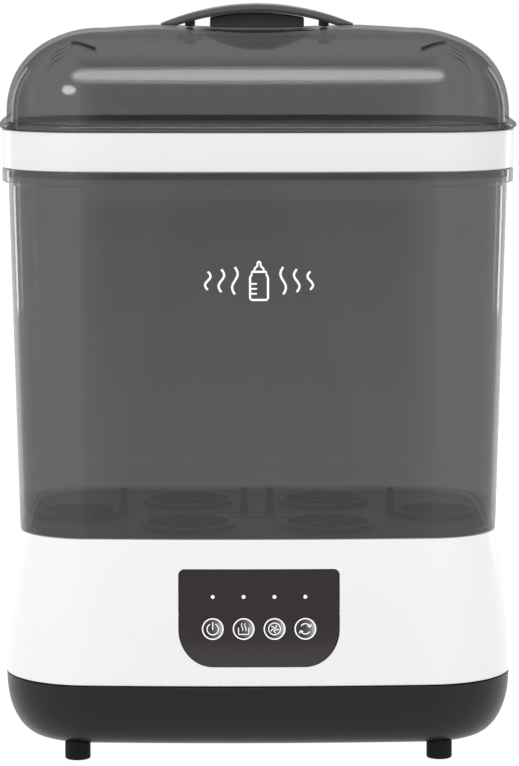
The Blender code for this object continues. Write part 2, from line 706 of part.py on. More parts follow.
def lid_skin(name, finish):
    """The dome: rings up the shoulder, then a grid over the crown."""
    plan = dict(xs=LID_XS, ys=LID_YS)
    offsets = [40.95, 40.9, 38.0, 32.5, 25.0, 16.0, 8.0, CROWN_OFFSET]
    profile = [(40.95, LID_FLANGE + 1.2)] + [(offset, shoulder_height(offset)) for offset in offsets[1:]]
    profile[1] = (40.9, LID_SPRING + 1.5)
    bm = bmesh.new()
    rows = []
    for offset, height in profile:
        points = ring(offset, z=height, **plan)
        rows.append([bm.verts.new((x, y, min(z, channel(x / MM) * MM if abs(x) < CHANNEL_HALF * MM else z))) for x, y, z in points])
    for low, high in zip(rows, rows[1:]):
        for here in range(len(low)):
            there = (here + 1) % len(low)
            bm.faces.new((low[here], low[there], high[there], high[here]))
    xs = (-SPINE_X, *LID_XS, SPINE_X)
    ys = (-SPINE_Y, *LID_YS, SPINE_Y)
    cells = {}
    for i, x in enumerate(xs):
        half = HALF_Y - FRONT_RADIUS + math.sqrt(FRONT_RADIUS**2 - x**2)
        for j, v in enumerate(ys):
            y = v * half / SPINE_Y if abs(v) > 40 else v
            wide = x
            if i in (0, len(xs) - 1):
                wide = math.copysign(HALF_X - SIDE_RADIUS + math.sqrt(SIDE_RADIUS**2 - y**2), x) if abs(v) < 40 else x
            reach = max(abs(wide) / 84.0, abs(y) / 50.7)
            cells[i, j] = bm.verts.new((wide * MM, y * MM, crown(wide, y, reach) * MM))
    for i in range(len(xs) - 1):
        for j in range(len(ys) - 1):
            bm.faces.new((cells[i, j], cells[i + 1, j], cells[i + 1, j + 1], cells[i, j + 1]))
    last_x, last_y = len(xs) - 1, len(ys) - 1
    corner = CORNER_STEPS + 1
    keys = [(last_x, 0)] * corner + [(last_x, j) for j in range(1, last_y)] + [(last_x, last_y)] * corner
    keys += [(i, last_y) for i in range(last_x - 1, 0, -1)] + [(0, last_y)] * corner
    keys += [(0, j) for j in range(last_y - 1, 0, -1)] + [(0, 0)] * corner + [(i, 0) for i in range(1, last_x)]
    edge = rows[-1]
    for here in range(len(edge)):
        there = (here + 1) % len(edge)
        a, b = cells[keys[there]], cells[keys[here]]
        corners = (edge[here], edge[there], a) if a is b else (edge[here], edge[there], a, b)
        bm.faces.new(corners)
    return object_of(name, bm, finish)


lid_shell = thicken(lid_skin("lid_shell", SMOKE), WALL)
flange_section = [(44.6, LID_FLANGE), (44.6, LID_FLANGE_TOP), (38.6, LID_FLANGE_TOP), (38.6, 306.0), (40.6, 306.0), (40.6, LID_FLANGE)]
flange = loft("lid_flange", levels(flange_section), None, closed=True)
join(lid_shell, flange)
vents = []
for side in (-1, 1):
    vent = box("vent", (-7.5, -1.25, 330.0), (7.5, 1.25, 360.0))
    vent.data.transform(Matrix.Translation(Vector((side * 84.3, -68.1, 0)) * MM) @ Matrix.Rotation(math.radians(34.0 * side), 4, "Z"))
    vents.append(vent)
cut(
    lid_shell,
    group("vents", vents),
    group("handle_holes", [cylinder("handle_hole", 1.9, 340.0, 365.0, (side * LEG_X, 0.0), sides=12) for side in (-1, 1)]),
)

# ---------------------------------------------------------------- handle
REST = 0.4  # clearance of the handle over the lid
TIP = 48.0  # half length of the arch


def arch_section(x):
    top = ARCH_TOP - ARCH_DROP * x**2
    under = max(ARCH_UNDER - ARCH_UNDER_DROP * x**2, channel(x) + REST)
    half = 11.0 - 4.5 * (x / TIP) ** 2
    thick = top - under
    edge, shelf = min(2.3, thick * 0.55), min(1.8, thick * 0.5)
    return [
        (x * MM, y * MM, z * MM)
        for y, z in (
            (-half, under),
            (half, under),
            (half, top - edge),
            (half - shelf, top - 0.25 * edge),
            (half * 0.4, top),
            (-half * 0.4, top),
            (-half + shelf, top - 0.25 * edge),
            (-half, top - edge),
        )
    ]


stations = [-TIP] + [-45 + 5 * n for n in range(19)] + [TIP]
handle_arch = loft("handle_arch", [arch_section(x) for x in stations], HANDLE, start=True, end=True)
for side in (-1, 1):
    low = channel(36.0) + REST
    leg = box("leg", (min(side * 31, side * 36), -4.0, low), (max(side * 31, side * 36), 4.0, 362.0))
    join(handle_arch, leg)
cut(
    handle_arch,
    group("leg_bores", [cylinder("leg_bore", 1.7, 350.0, 361.6, (side * LEG_X, 0.0), sides=10) for side in (-1, 1)]),
)

GRIP_HALF = 23.5
grip_xs = [-GRIP_HALF, -18.0, -12.0, -6.0, 0.0, 6.0, 12.0, 18.0, GRIP_HALF]
grip_line = [(x, channel(x) + REST + (0.05 if abs(x) in (6, 18) else 0.0)) for x in grip_xs]
grip_line += [(x, ARCH_UNDER - ARCH_UNDER_DROP * x**2 - GAP - 0.06) for x in reversed(grip_xs)]
outline("handle_grip", grip_line, 12.0, GRIP, UPRIGHT)

for label, side in (("left", -1), ("right", 1)):
    tab = box("handle_tab_" + label, (side * LEG_X - 6, -6.0, 350.8), (side * LEG_X + 6, 6.0, 353.8), HANDLE)
    cut(tab, cylinder("tab_bore_" + label, 1.8, 345.0, 360.0, (side * LEG_X, 0.0), sides=10))
    lathe(
        "handle_screw_" + label,
        [(0, 360.5), (1.3, 360.5), (1.3, 350.5), (3.0, 350.5), (3.0, 348.8), (0, 348.8)],
        SCREW,
        12,
        centre=(side * LEG_X, 0.0),
    )
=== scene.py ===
import math

import bmesh
import bpy
from mathutils import Matrix, Vector


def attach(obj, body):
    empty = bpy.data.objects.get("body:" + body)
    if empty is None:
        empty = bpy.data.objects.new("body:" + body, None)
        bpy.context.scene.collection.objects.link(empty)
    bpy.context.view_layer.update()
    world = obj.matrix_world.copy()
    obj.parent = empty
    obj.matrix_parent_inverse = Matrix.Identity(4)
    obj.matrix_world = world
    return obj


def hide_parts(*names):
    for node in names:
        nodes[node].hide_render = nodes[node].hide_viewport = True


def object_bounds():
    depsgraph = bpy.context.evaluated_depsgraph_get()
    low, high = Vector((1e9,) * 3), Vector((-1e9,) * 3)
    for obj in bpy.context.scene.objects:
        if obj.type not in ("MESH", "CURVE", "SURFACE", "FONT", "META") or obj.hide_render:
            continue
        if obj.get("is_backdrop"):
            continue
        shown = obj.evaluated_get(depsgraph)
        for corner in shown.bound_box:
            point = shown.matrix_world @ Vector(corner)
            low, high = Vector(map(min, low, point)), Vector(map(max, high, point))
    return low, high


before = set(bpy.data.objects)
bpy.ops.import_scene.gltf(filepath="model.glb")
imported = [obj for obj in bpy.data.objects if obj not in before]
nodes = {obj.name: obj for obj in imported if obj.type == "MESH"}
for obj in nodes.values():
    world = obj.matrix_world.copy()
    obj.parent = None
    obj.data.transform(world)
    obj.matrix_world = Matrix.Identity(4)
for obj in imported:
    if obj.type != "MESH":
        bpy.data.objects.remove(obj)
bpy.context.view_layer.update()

MM = 0.001

# ------------------------------------------------------------------ camera and colour handling
camera_data = bpy.data.cameras.new("camera")
camera_data.lens = 159.396
camera_data.sensor_width = 36.0
camera = bpy.data.objects.new("camera", camera_data)
bpy.context.scene.collection.objects.link(camera)
camera.location = (-0.02004, -1.70988, 0.3955)
camera.rotation_euler = (math.radians(90 - 7.276), 0.0, -0.0125)
bpy.context.scene.camera = camera
bpy.context.scene.view_settings.view_transform = "Standard"
bpy.context.scene.view_settings.look = "None"

# ------------------------------------------------------------------ the plan shape and profiles, in mm
SPINE_X, SPINE_Y = 81.95, 47.0
BOW_X, BOW_Y = 0.8, 2.5
SIDE_RADIUS = (SPINE_Y**2 + BOW_X**2) / (2 * BOW_X)
FRONT_RADIUS = (SPINE_X**2 + BOW_Y**2) / (2 * BOW_Y)
HALF_X, HALF_Y = SPINE_X + BOW_X, SPINE_Y + BOW_Y
SEAM, LEDGE, DECK = 39.9, 111.2, 102.0
LID_SPRING, LID_RISE, LID_REACH, LID_CENTRE, LID_POWER = 315.0, 40.8, 43.4, 80.3, 2.268
CROWN_OFFSET, CROWN_RISE = 1.2, 3.4
CHANNEL_LOW, CHANNEL_HALF, CHANNEL_RISE = 356.4, 50.0, 1.6
ARCH_TOP, ARCH_UNDER, ARCH_DROP, ARCH_UNDER_DROP = 369.05, 364.7, 0.00425, 0.00416
PLATE_CENTRE, FAN_CENTRE, DUCT_Y = (0.0, -16.0), (0.0, 8.0), 65.0
FOOT_X, FOOT_Y, POST_X, POST_Y, LEG_X = 89.2, 71.5, 72.0, 48.0, 33.5
BUTTON_X, BUTTON_Z, LED_Z = (-22.5, -7.5, 7.5, 22.5), 68.27, 83.7
BUTTON_NAMES = ("power_button", "sterilize_button", "dry_button", "cycle_button")
BUTTON_BODIES = ("power_key", "sterilize_key", "dry_key", "cycle_key")
INLET_X, INLET_Z = 62.0, 58.0


def spread(count, half):
    return tuple(-half + 2 * half * (n + 1) / (count + 1) for n in range(count))


def ring(offset, xs=spread(11, SPINE_X), ys=spread(5, SPINE_Y), corner=14):
    """Plan points in mm, counter-clockwise from above."""
    side = math.degrees(math.asin(SPINE_Y / SIDE_RADIUS))
    front = math.degrees(math.asin(SPINE_X / FRONT_RADIUS))
    points = []

    def arc(cx, cy, start, stop):
        for step in range(corner + 1):
            angle = math.radians(start + (stop - start) * step / corner)
            points.append((cx + offset * math.cos(angle), cy + offset * math.sin(angle)))

    def along_x(x, sign):
        angle, reach = math.asin(x / FRONT_RADIUS), FRONT_RADIUS + offset
        points.append((reach * math.sin(angle), sign * (HALF_Y - FRONT_RADIUS + reach * math.cos(angle))))

    def along_y(y, sign):
        angle, reach = math.asin(y / SIDE_RADIUS), SIDE_RADIUS + offset
        points.append((sign * (HALF_X - SIDE_RADIUS + reach * math.cos(angle)), reach * math.sin(angle)))

    arc(SPINE_X, -SPINE_Y, -90 + front, -side)
    for y in ys:
        along_y(y, 1)
    arc(SPINE_X, SPINE_Y, side, 90 - front)
    for x in reversed(xs):
        along_x(x, 1)
    arc(-SPINE_X, SPINE_Y, 90 + front, 180 - side)
    for y in reversed(ys):
        along_y(y, -1)
    arc(-SPINE_X, -SPINE_Y, 180 + side, 270 - front)
    for x in xs:
        along_x(x, -1)
    return points


def housing_offset(height):
    return 126.25 - 7.63 * max(0.0, (height - SEAM) / 71.3) ** 1.55 - HALF_X


def housing_slope(height):
    return math.atan(7.63 * 1.55 / 71.3 * max(0.0, (height - SEAM) / 71.3) ** 0.55)


def chamber_offset(height):
    return 118.78 + 0.02486 * (height - LEDGE) - HALF_X


def shoulder_height(offset, drop=0.0):
    reach = min(1.0, max(0.0, (HALF_X + offset - LID_CENTRE) / (LID_REACH - drop)))
    return LID_SPRING + (LID_RISE - drop) * (1 - reach**LID_POWER) ** (1 / LID_POWER)


def front_point(x, height, inset=0.0):
    reach = FRONT_RADIUS + housing_offset(height) - inset
    y = -(HALF_Y - FRONT_RADIUS + math.sqrt(reach**2 - x**2))
    lean = housing_slope(height)
    return Vector((x, y, height)) * MM, Vector((x / reach, -math.cos(lean), math.sin(lean))).normalized()


def chamber_front(x, height, proud=0.0):
    reach = FRONT_RADIUS + chamber_offset(height) + proud
    return -(HALF_Y - FRONT_RADIUS + math.sqrt(reach**2 - x**2))


def facing(point, normal):
    across = Vector((0, 0, 1)).cross(normal).normalized()
    up = normal.cross(across)
    return Matrix.Translation(point) @ Matrix((across, up, normal)).transposed().to_4x4()


# ------------------------------------------------------------------ mesh helpers
def rounded(profile, closed=False, steps=4):
    """A profile of (r, z, fillet) with its corners rounded, as (r, z)."""
    count, out = len(profile), []
    for n, (r, z, fillet) in enumerate(profile):
        if fillet <= 0 or (not closed and n in (0, count - 1)):
            out.append((r, z))
            continue
        here = Vector((r, z))
        before = Vector(profile[n - 1][:2]) - here
        after = Vector(profile[(n + 1) % count][:2]) - here
        angle = before.angle(after)
        if angle > math.radians(176):
            out.append((r, z))
            continue
        reach = min(fillet / math.tan(angle / 2), 0.48 * before.length, 0.48 * after.length)
        fillet = reach * math.tan(angle / 2)
        start, stop = here + before.normalized() * reach, here + after.normalized() * reach
        centre = here + (before.normalized() + after.normalized()).normalized() * (fillet / math.sin(angle / 2))
        one, two = start - centre, stop - centre
        sweep = one.angle_signed(two)
        for step in range(steps + 1):
            turn = -sweep * step / steps
            c, s = math.cos(turn), math.sin(turn)
            out.append((centre.x + one.x * c - one.y * s, centre.y + one.x * s + one.y * c))
    return out


def finished(name, bm, mat, sharp=32.0, weld=0.0):
    if weld:
        bmesh.ops.remove_doubles(bm, verts=bm.verts, dist=weld)
    mesh = bpy.data.meshes.new(name)
    bm.to_mesh(mesh)
    bm.free()
    mesh.shade_smooth()
    if sharp:
        mesh.set_sharp_from_angle(angle=math.radians(sharp))
    obj = bpy.data.objects.new(name, mesh)
    bpy.context.scene.collection.objects.link(obj)
    if mat is not None:
        mesh.materials.append(mat)
    return obj


def bridge(bm, low, high):
    for here in range(len(low)):
        there = (here + 1) % len(low)
        bm.faces.new((low[here], low[there], high[there], high[here]))


def loft(name, profile, mat, closed=False, start=False, end=False, sharp=32.0, **plan):
    """A plan-shaped skin through (offset, height) levels."""
    bm = bmesh.new()
    rows = [[bm.verts.new((x * MM, y * MM, z * MM)) for x, y in ring(r, **plan)] for r, z in profile]
    for low, high in zip(rows, rows[1:]):
        bridge(bm, low, high)
    if closed:
        bridge(bm, rows[-1], rows[0])
    if start:
        bm.faces.new(list(reversed(rows[0])))
    if end:
        bm.faces.new(rows[-1])
    return finished(name, bm, mat, sharp)


def turned(name, profile, mat, centre=(0.0, 0.0), steps=64, matrix=None, closed=False, sharp=32.0):
    """A round piece from (radius, height), running down its outer side."""
    bm = bmesh.new()
    rows = []
    for r, z in profile:
        if r < 1e-6:
            rows.append([bm.verts.new((centre[0] * MM, centre[1] * MM, z * MM))])
        else:
            rows.append(
                [
                    bm.verts.new(
                        (
                            (centre[0] + r * math.cos(2 * math.pi * n / steps)) * MM,
                            (centre[1] + r * math.sin(2 * math.pi * n / steps)) * MM,
                            z * MM,
                        )
                    )
                    for n in range(steps)
                ]
            )
    pairs = list(zip(rows, rows[1:]))
    if closed:
        pairs.append((rows[-1], rows[0]))
    for high, low in pairs:
        for n in range(steps):
            m = (n + 1) % steps
            if len(high) == 1:
                bm.faces.new((high[0], low[n], low[m]))
            elif len(low) == 1:
                bm.faces.new((high[n], low[0], high[m]))
            else:
                bm.faces.new((high[n], low[n], low[m], high[m]))
    if matrix is not None:
        bmesh.ops.transform(bm, matrix=matrix, verts=bm.verts)
    return finished(name, bm, mat, sharp)


def prism(name, points, low, high, mat=None, matrix=None):
    """A flat outline between two heights along its own Z."""
    bm = bmesh.new()
    a = [bm.verts.new((u * MM, v * MM, low * MM)) for u, v in points]
    b = [bm.verts.new((u * MM, v * MM, high * MM)) for u, v in points]
    bridge(bm, a, b)
    bm.faces.new(list(reversed(a)))
    bm.faces.new(b)
    if matrix is not None:
        bmesh.ops.transform(bm, matrix=matrix, verts=bm.verts)
    bmesh.ops.recalc_face_normals(bm, faces=bm.faces)
    return finished(name, bm, mat)


def pill(cx, cy, length, width, turn=0.0, steps=8):
    """A slot outline with round ends."""
    points, half = [], length / 2 - width / 2
    for end, base in ((1, -90), (-1, 90)):
        for n in range(steps + 1):
            angle = math.radians(base + 180 * n / steps)
            points.append((end * half + width / 2 * math.cos(angle), width / 2 * math.sin(angle)))
    c, s = math.cos(turn), math.sin(turn)
    return [(cx + x * c - y * s, cy + x * s + y * c) for x, y in points]


def apply(obj):
    """Replaces an object's mesh by its evaluated one."""
    view = bpy.context.evaluated_depsgraph_get()
    view.update()
    mesh = bpy.data.meshes.new_from_object(obj.evaluated_get(view), depsgraph=view)
    obj.modifiers.clear()
    obj.data = mesh
    return obj


def merged(name, objects):
    bm = bmesh.new()
    for obj in objects:
        part = bmesh.new()
        part.from_mesh(obj.data)
        part.transform(obj.matrix_world)
        scratch = bpy.data.meshes.new("scratch")
        part.to_mesh(scratch)
        part.free()
        bm.from_mesh(scratch)
        bpy.data.meshes.remove(scratch)
        bpy.data.objects.remove(obj, do_unlink=True)
    return finished(name, bm, None)


def boolean(obj, tool, operation="DIFFERENCE", sharp=32.0):
    step = obj.modifiers.new("cut", "BOOLEAN")
    step.operation = operation
    step.solver = "EXACT"
    step.object = tool
    apply(obj)
    bpy.data.objects.remove(tool, do_unlink=True)
    obj.data.shade_smooth()
    obj.data.set_sharp_from_angle(angle=math.radians(sharp))
    return obj


def soften(obj, width=0.3, angle=40.0, segments=2):
    step = obj.modifiers.new("edges", "BEVEL")
    step.width = width * MM
    step.segments = segments
    step.limit_method = "ANGLE"
    step.angle_limit = math.radians(angle)
    step.harden_normals = False
    step.use_clamp_overlap = True
    return apply(obj)


def place(obj, body, slot=None, *replaced):
    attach(obj, body)
    for node in replaced:
        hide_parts(node)
    return obj


# ------------------------------------------------------------------ materials
def new_material(name):
    mat = bpy.data.materials.new(name)
    mat.use_nodes = True
    tree = mat.node_tree
    tree.nodes.clear()
    return mat, tree, tree.nodes.new("ShaderNodeOutputMaterial")


def link(tree, a, b):
    tree.links.new(a, b)


def plastic(name, colour, rough, grain=900.0, bump=0.04, rough_span=0.06, tint=0.03, specular=0.5, metallic=0.0, coat=0.0, depth=0.00005):
    """Moulded plastic: a fine spark-eroded grain, slight drift in gloss and in tone."""
    mat, tree, out = new_material(name)
    shader = tree.nodes.new("ShaderNodeBsdfPrincipled")
    shader.inputs["Metallic"].default_value = metallic
    shader.inputs["Specular IOR Level"].default_value = specular
    shader.inputs["Coat Weight"].default_value = coat
    shader.inputs["Coat Roughness"].default_value = 0.05
    place_at = tree.nodes.new("ShaderNodeTexCoord")
    wide = tree.nodes.new("ShaderNodeTexNoise")
    wide.inputs["Scale"].default_value = 14.0
    wide.inputs["Detail"].default_value = 3.0
    link(tree, place_at.outputs["Object"], wide.inputs["Vector"])
    tone = tree.nodes.new("ShaderNodeMapRange")
    tone.inputs["To Min"].default_value = 1.0 - tint
    tone.inputs["To Max"].default_value = 1.0 + tint
    link(tree, wide.outputs["Fac"], tone.inputs["Value"])
    mix = tree.nodes.new("ShaderNodeMix")
    mix.data_type = "RGBA"
    mix.blend_type = "MULTIPLY"
    mix.inputs["Factor"].default_value = 1.0
    mix.inputs["A"].default_value = (*colour, 1.0)
    link(tree, tone.outputs["Result"], mix.inputs["B"])
    link(tree, mix.outputs["Result"], shader.inputs["Base Color"])
    gloss = tree.nodes.new("ShaderNodeMapRange")
    gloss.inputs["To Min"].default_value = max(0.02, rough - rough_span)
    gloss.inputs["To Max"].default_value = rough + rough_span
    link(tree, wide.outputs["Fac"], gloss.inputs["Value"])
    link(tree, gloss.outputs["Result"], shader.inputs["Roughness"])
    fine = tree.nodes.new("ShaderNodeTexNoise")
    fine.inputs["Scale"].default_value = grain
    fine.inputs["Detail"].default_value = 2.0
    link(tree, place_at.outputs["Object"], fine.inputs["Vector"])
    relief = tree.nodes.new("ShaderNodeBump")
    relief.inputs["Strength"].default_value = bump
    relief.inputs["Distance"].default_value = depth
    link(tree, fine.outputs["Fac"], relief.inputs["Height"])
    link(tree, relief.outputs["Normal"], shader.inputs["Normal"])
    link(tree, shader.outputs["BSDF"], out.inputs["Surface"])
    return mat


def smoke(name, tint, body=0.03, body_colour=(0.25, 0.25, 0.26), rough=0.06, skin=1.0, rim=None):
    """Clear smoke plastic: light passes straight through, tinted, and the skin mirrors more towards its edges."""
    mat, tree, out = new_material(name)
    clear = tree.nodes.new("ShaderNodeBsdfTransparent")
    clear.inputs["Color"].default_value = (*tint, 1.0)
    haze = tree.nodes.new("ShaderNodeBsdfDiffuse")
    haze.inputs["Color"].default_value = (*body_colour, 1.0)
    through = tree.nodes.new("ShaderNodeMixShader")
    through.inputs["Fac"].default_value = body
    link(tree, clear.outputs["BSDF"], through.inputs[1])
    link(tree, haze.outputs["BSDF"], through.inputs[2])
    mirror = tree.nodes.new("ShaderNodeBsdfGlossy")
    mirror.inputs["Color"].default_value = (1, 1, 1, 1)
    place_at = tree.nodes.new("ShaderNodeTexCoord")
    wide = tree.nodes.new("ShaderNodeTexNoise")
    wide.inputs["Scale"].default_value = 9.0
    wide.inputs["Detail"].default_value = 2.0
    link(tree, place_at.outputs["Object"], wide.inputs["Vector"])
    gloss = tree.nodes.new("ShaderNodeMapRange")
    gloss.inputs["To Min"].default_value = rough * 0.6
    gloss.inputs["To Max"].default_value = rough * 1.5
    link(tree, wide.outputs["Fac"], gloss.inputs["Value"])
    link(tree, gloss.outputs["Result"], mirror.inputs["Roughness"])
    edge = tree.nodes.new("ShaderNodeLayerWeight")
    edge.inputs["Blend"].default_value = 0.5
    if rim is not None:
        # the wall is seen along its length near its outline, so it darkens there
        thick = tree.nodes.new("ShaderNodeMapRange")
        thick.inputs["From Min"].default_value = 0.60
        thick.inputs["From Max"].default_value = 0.82
        link(tree, edge.outputs["Facing"], thick.inputs["Value"])
        deep = tree.nodes.new("ShaderNodeMix")
        deep.data_type = "RGBA"
        deep.inputs["A"].default_value = (*tint, 1.0)
        deep.inputs["B"].default_value = (*rim, 1.0)
        link(tree, thick.outputs["Result"], deep.inputs["Factor"])
        link(tree, deep.outputs["Result"], clear.inputs["Color"])
    power = tree.nodes.new("ShaderNodeMath")
    power.operation = "POWER"
    power.inputs[1].default_value = 5.0
    link(tree, edge.outputs["Facing"], power.inputs[0])
    share = tree.nodes.new("ShaderNodeMapRange")
    share.inputs["To Min"].default_value = 0.04
    share.inputs["To Max"].default_value = skin
    link(tree, power.outputs["Value"], share.inputs["Value"])
    surface = tree.nodes.new("ShaderNodeMixShader")
    link(tree, share.outputs["Result"], surface.inputs["Fac"])
    link(tree, through.outputs["Shader"], surface.inputs[1])
    link(tree, mirror.outputs["BSDF"], surface.inputs[2])
    link(tree, surface.outputs["Shader"], out.inputs["Surface"])
    return mat


def metal(name, colour, rough, grain=300.0, bump=0.15, stretch=(1, 1, 1)):
    mat, tree, out = new_material(name)
    shader = tree.nodes.new("ShaderNodeBsdfPrincipled")
    shader.inputs["Metallic"].default_value = 1.0
    place_at = tree.nodes.new("ShaderNodeTexCoord")
    scale = tree.nodes.new("ShaderNodeMapping")
    scale.inputs["Scale"].default_value = stretch
    link(tree, place_at.outputs["Object"], scale.inputs["Vector"])
    noise = tree.nodes.new("ShaderNodeTexNoise")
    noise.inputs["Scale"].default_value = grain
    noise.inputs["Detail"].default_value = 4.0
    link(tree, scale.outputs["Vector"], noise.inputs["Vector"])
    ramp = tree.nodes.new("ShaderNodeValToRGB")
    ramp.color_ramp.elements[0].color = (*[c * 0.82 for c in colour], 1)
    ramp.color_ramp.elements[1].color = (*[min(1.0, c * 1.1) for c in colour], 1)
    link(tree, noise.outputs["Fac"], ramp.inputs["Fac"])
    link(tree, ramp.outputs["Color"], shader.inputs["Base Color"])
    gloss = tree.nodes.new("ShaderNodeMapRange")
    gloss.inputs["To Min"].default_value = rough * 0.7
    gloss.inputs["To Max"].default_value = rough * 1.4
    link(tree, noise.outputs["Fac"], gloss.inputs["Value"])
    link(tree, gloss.outputs["Result"], shader.inputs["Roughness"])
    relief = tree.nodes.new("ShaderNodeBump")
    relief.inputs["Strength"].default_value = bump
    relief.inputs["Distance"].default_value = 0.0001
    link(tree, noise.outputs["Fac"], relief.inputs["Height"])
    link(tree, relief.outputs["Normal"], shader.inputs["Normal"])
    link(tree, shader.outputs["BSDF"], out.inputs["Surface"])
    return mat


def button_painted_sheen(name, centre_x):
    """Dark gloss with a painted highlight: a silvery sweep towards the right-hand edge, put into the base colour."""
    mat = plastic(name, (0.03, 0.027, 0.028), 0.16, grain=1200, bump=0.02)
    tree = mat.node_tree
    shader = next(n for n in tree.nodes if n.type == "BSDF_PRINCIPLED")
    place_at = next(n for n in tree.nodes if n.type == "TEX_COORD")
    split = tree.nodes.new("ShaderNodeSeparateXYZ")
    link(tree, place_at.outputs["Object"], split.inputs["Vector"])
    # painted highlight: the base colour runs from dark to silver across the key's right-hand edge
    sweep = tree.nodes.new("ShaderNodeMapRange")
    sweep.inputs["From Min"].default_value = (centre_x - 5.0) * MM
    sweep.inputs["From Max"].default_value = (centre_x + 5.0) * MM
    link(tree, split.outputs["X"], sweep.inputs["Value"])
    ramp = tree.nodes.new("ShaderNodeValToRGB")
    ramp.color_ramp.elements[0].position = 0.35
    ramp.color_ramp.elements[0].color = (0.03, 0.027, 0.028, 1)
    ramp.color_ramp.elements[1].position = 1.0
    ramp.color_ramp.elements[1].color = (0.50, 0.49, 0.49, 1)
    middle = ramp.color_ramp.elements.new(0.72)
    middle.color = (0.12, 0.11, 0.112, 1)
    link(tree, sweep.outputs["Result"], ramp.inputs["Fac"])
    link(tree, ramp.outputs["Color"], shader.inputs["Base Color"])
    return mat


WHITE = plastic("white_gloss", (0.735, 0.737, 0.74), 0.22, grain=700, bump=0.05, tint=0.006)
# painted shade: the tray band uses a darker copy of the same white plastic, so the band reads less bright than the base
TRAY_WHITE_SHADED = plastic("white_gloss_painted_shade_tray", (0.665, 0.667, 0.67), 0.22, grain=700, bump=0.05, tint=0.006)
BLACK = plastic("black_satin", (0.008, 0.008, 0.009), 0.34, grain=1400, bump=0.2, tint=0.1, specular=0.25)
SMOKE = smoke("smoke_clear", (0.512, 0.516, 0.522), body=0.02, skin=0.6)
SMOKE_LID = smoke("smoke_clear_lid", (0.550, 0.556, 0.562), body=0.02, rough=0.09, skin=0.14, rim=(0.40, 0.405, 0.41))
HANDLE = plastic("handle_grey", (0.036, 0.036, 0.038), 0.34, grain=1500, bump=0.25, tint=0.06)
GRIP = plastic("grip_dark", (0.022, 0.022, 0.024), 0.45, grain=1500, bump=0.3, tint=0.1)
PANEL = plastic("panel_gloss", (0.028, 0.022, 0.024), 0.07, grain=500, bump=0.01, rough_span=0.02, tint=0.08)
PRINT = plastic("white_print", (0.9, 0.9, 0.9), 0.4, grain=2500, bump=0.1, tint=0.02)
LENS = plastic("led_frosted", (0.95, 0.95, 0.95), 0.3, grain=2500, bump=0.1, tint=0.01)
GREY = plastic("inner_grey", (0.30, 0.31, 0.32), 0.4, grain=900, bump=0.15)
TAB = plastic("tab_grey", (0.52, 0.525, 0.53), 0.4, grain=1500, bump=0.2, tint=0.06)
RACK = plastic("rack_grey", (0.21, 0.215, 0.22), 0.42, grain=900, bump=0.15)
RUBBER = plastic("foot_rubber", (0.006, 0.006, 0.006), 0.7, grain=1800, bump=0.5, tint=0.15, specular=0.12)
SILICONE = plastic("silicone", (0.68, 0.68, 0.66), 0.5, grain=600, bump=0.1)
BOARD = plastic("board_green", (0.02, 0.11, 0.045), 0.35, grain=300, bump=0.4, tint=0.2)
PAPER = plastic("filter_paper", (0.84, 0.85, 0.84), 0.9, grain=1200, bump=1.0, tint=0.04)
STEEL = metal("stainless", (0.60, 0.60, 0.61), 0.22, grain=220, bump=0.12)
SCREW = metal("zinc", (0.52, 0.52, 0.52), 0.3, grain=900)
ALLOY = metal("cast_alloy", (0.55, 0.55, 0.56), 0.5, grain=500, bump=0.5)

for node, mat in {
    "plate_gasket": SILICONE, "heater_ring": ALLOY, "thermostat": ALLOY, "air_duct": GREY, "ptc_heater": ALLOY,
    "fan_housing": GREY, "fan_motor": ALLOY, "fan_impeller": BLACK, "main_pcb": BOARD, "control_pcb": BOARD,
    "hepa_filter": PAPER, "filter_cover": BLACK, "power_inlet": BLACK, "handle_tab_left": TAB,
    "handle_tab_right": TAB, "handle_screw_left": SCREW, "handle_screw_right": SCREW, "air_outlet_grille": WHITE,
    "base_screw_1": SCREW, "base_screw_2": SCREW, "base_screw_3": SCREW, "base_screw_4": SCREW, "heating_plate": STEEL,
    "bottle_rack": RACK,
}.items():
    mesh = nodes[node].data
    mesh.materials.clear()
    mesh.materials.append(mat)

# ------------------------------------------------------------------ lower shell
def lower_offset(angle, inset=0.0):
    power = 2 / 2.06
    return (
        107.96 + (17.92 - inset) * max(0.0, math.cos(math.radians(angle))) ** power - HALF_X,
        38.0 - (29.9 - inset) * math.sin(math.radians(angle)) ** power,
    )


flank = [lower_offset(angle) for angle in (90, 86, 80, 72, 64, 56, 48, 40, 32, 24, 16, 9, 4)]
inner = [lower_offset(angle, 2.4) for angle in (10, 30, 50, 70, 90)]
top = rounded([(43.15, 38.0, 0), (43.35, SEAM - 0.3, 0.7), (40.95, SEAM - 0.3, 0.5), (40.7, 37.0, 0)])
shell = loft("lower_shell", flank + top + inner, BLACK, start=True)
closing = bmesh.new()
closing.from_mesh(shell.data)
closing.verts.ensure_lookup_table()
count = len(ring(0.0))
last = closing.verts[len(closing.verts) - count:]
closing.faces.new(list(last))
closing.to_mesh(shell.data)
closing.free()
fx, fy = FAN_CENTRE
tools = [prism("t", [(-36, fy - 26), (36, fy - 26), (36, fy + 26), (-36, fy + 26)], 5, 30)]
for sx in (-1, 1):
    for sy in (-1, 1):
        tools.append(turned("t", [(0, 18), (2.9, 18), (2.9, 2), (0, 2)], None, (sx * FOOT_X, sy * FOOT_Y), 24))
        tools.append(turned("t", [(0, 18), (4.3, 18), (4.3, 2), (0, 2)], None, (sx * POST_X, sy * POST_Y), 24))
boolean(shell, merged("tools", tools))
place(shell, "base", "black_plastic", "bottom_shell")

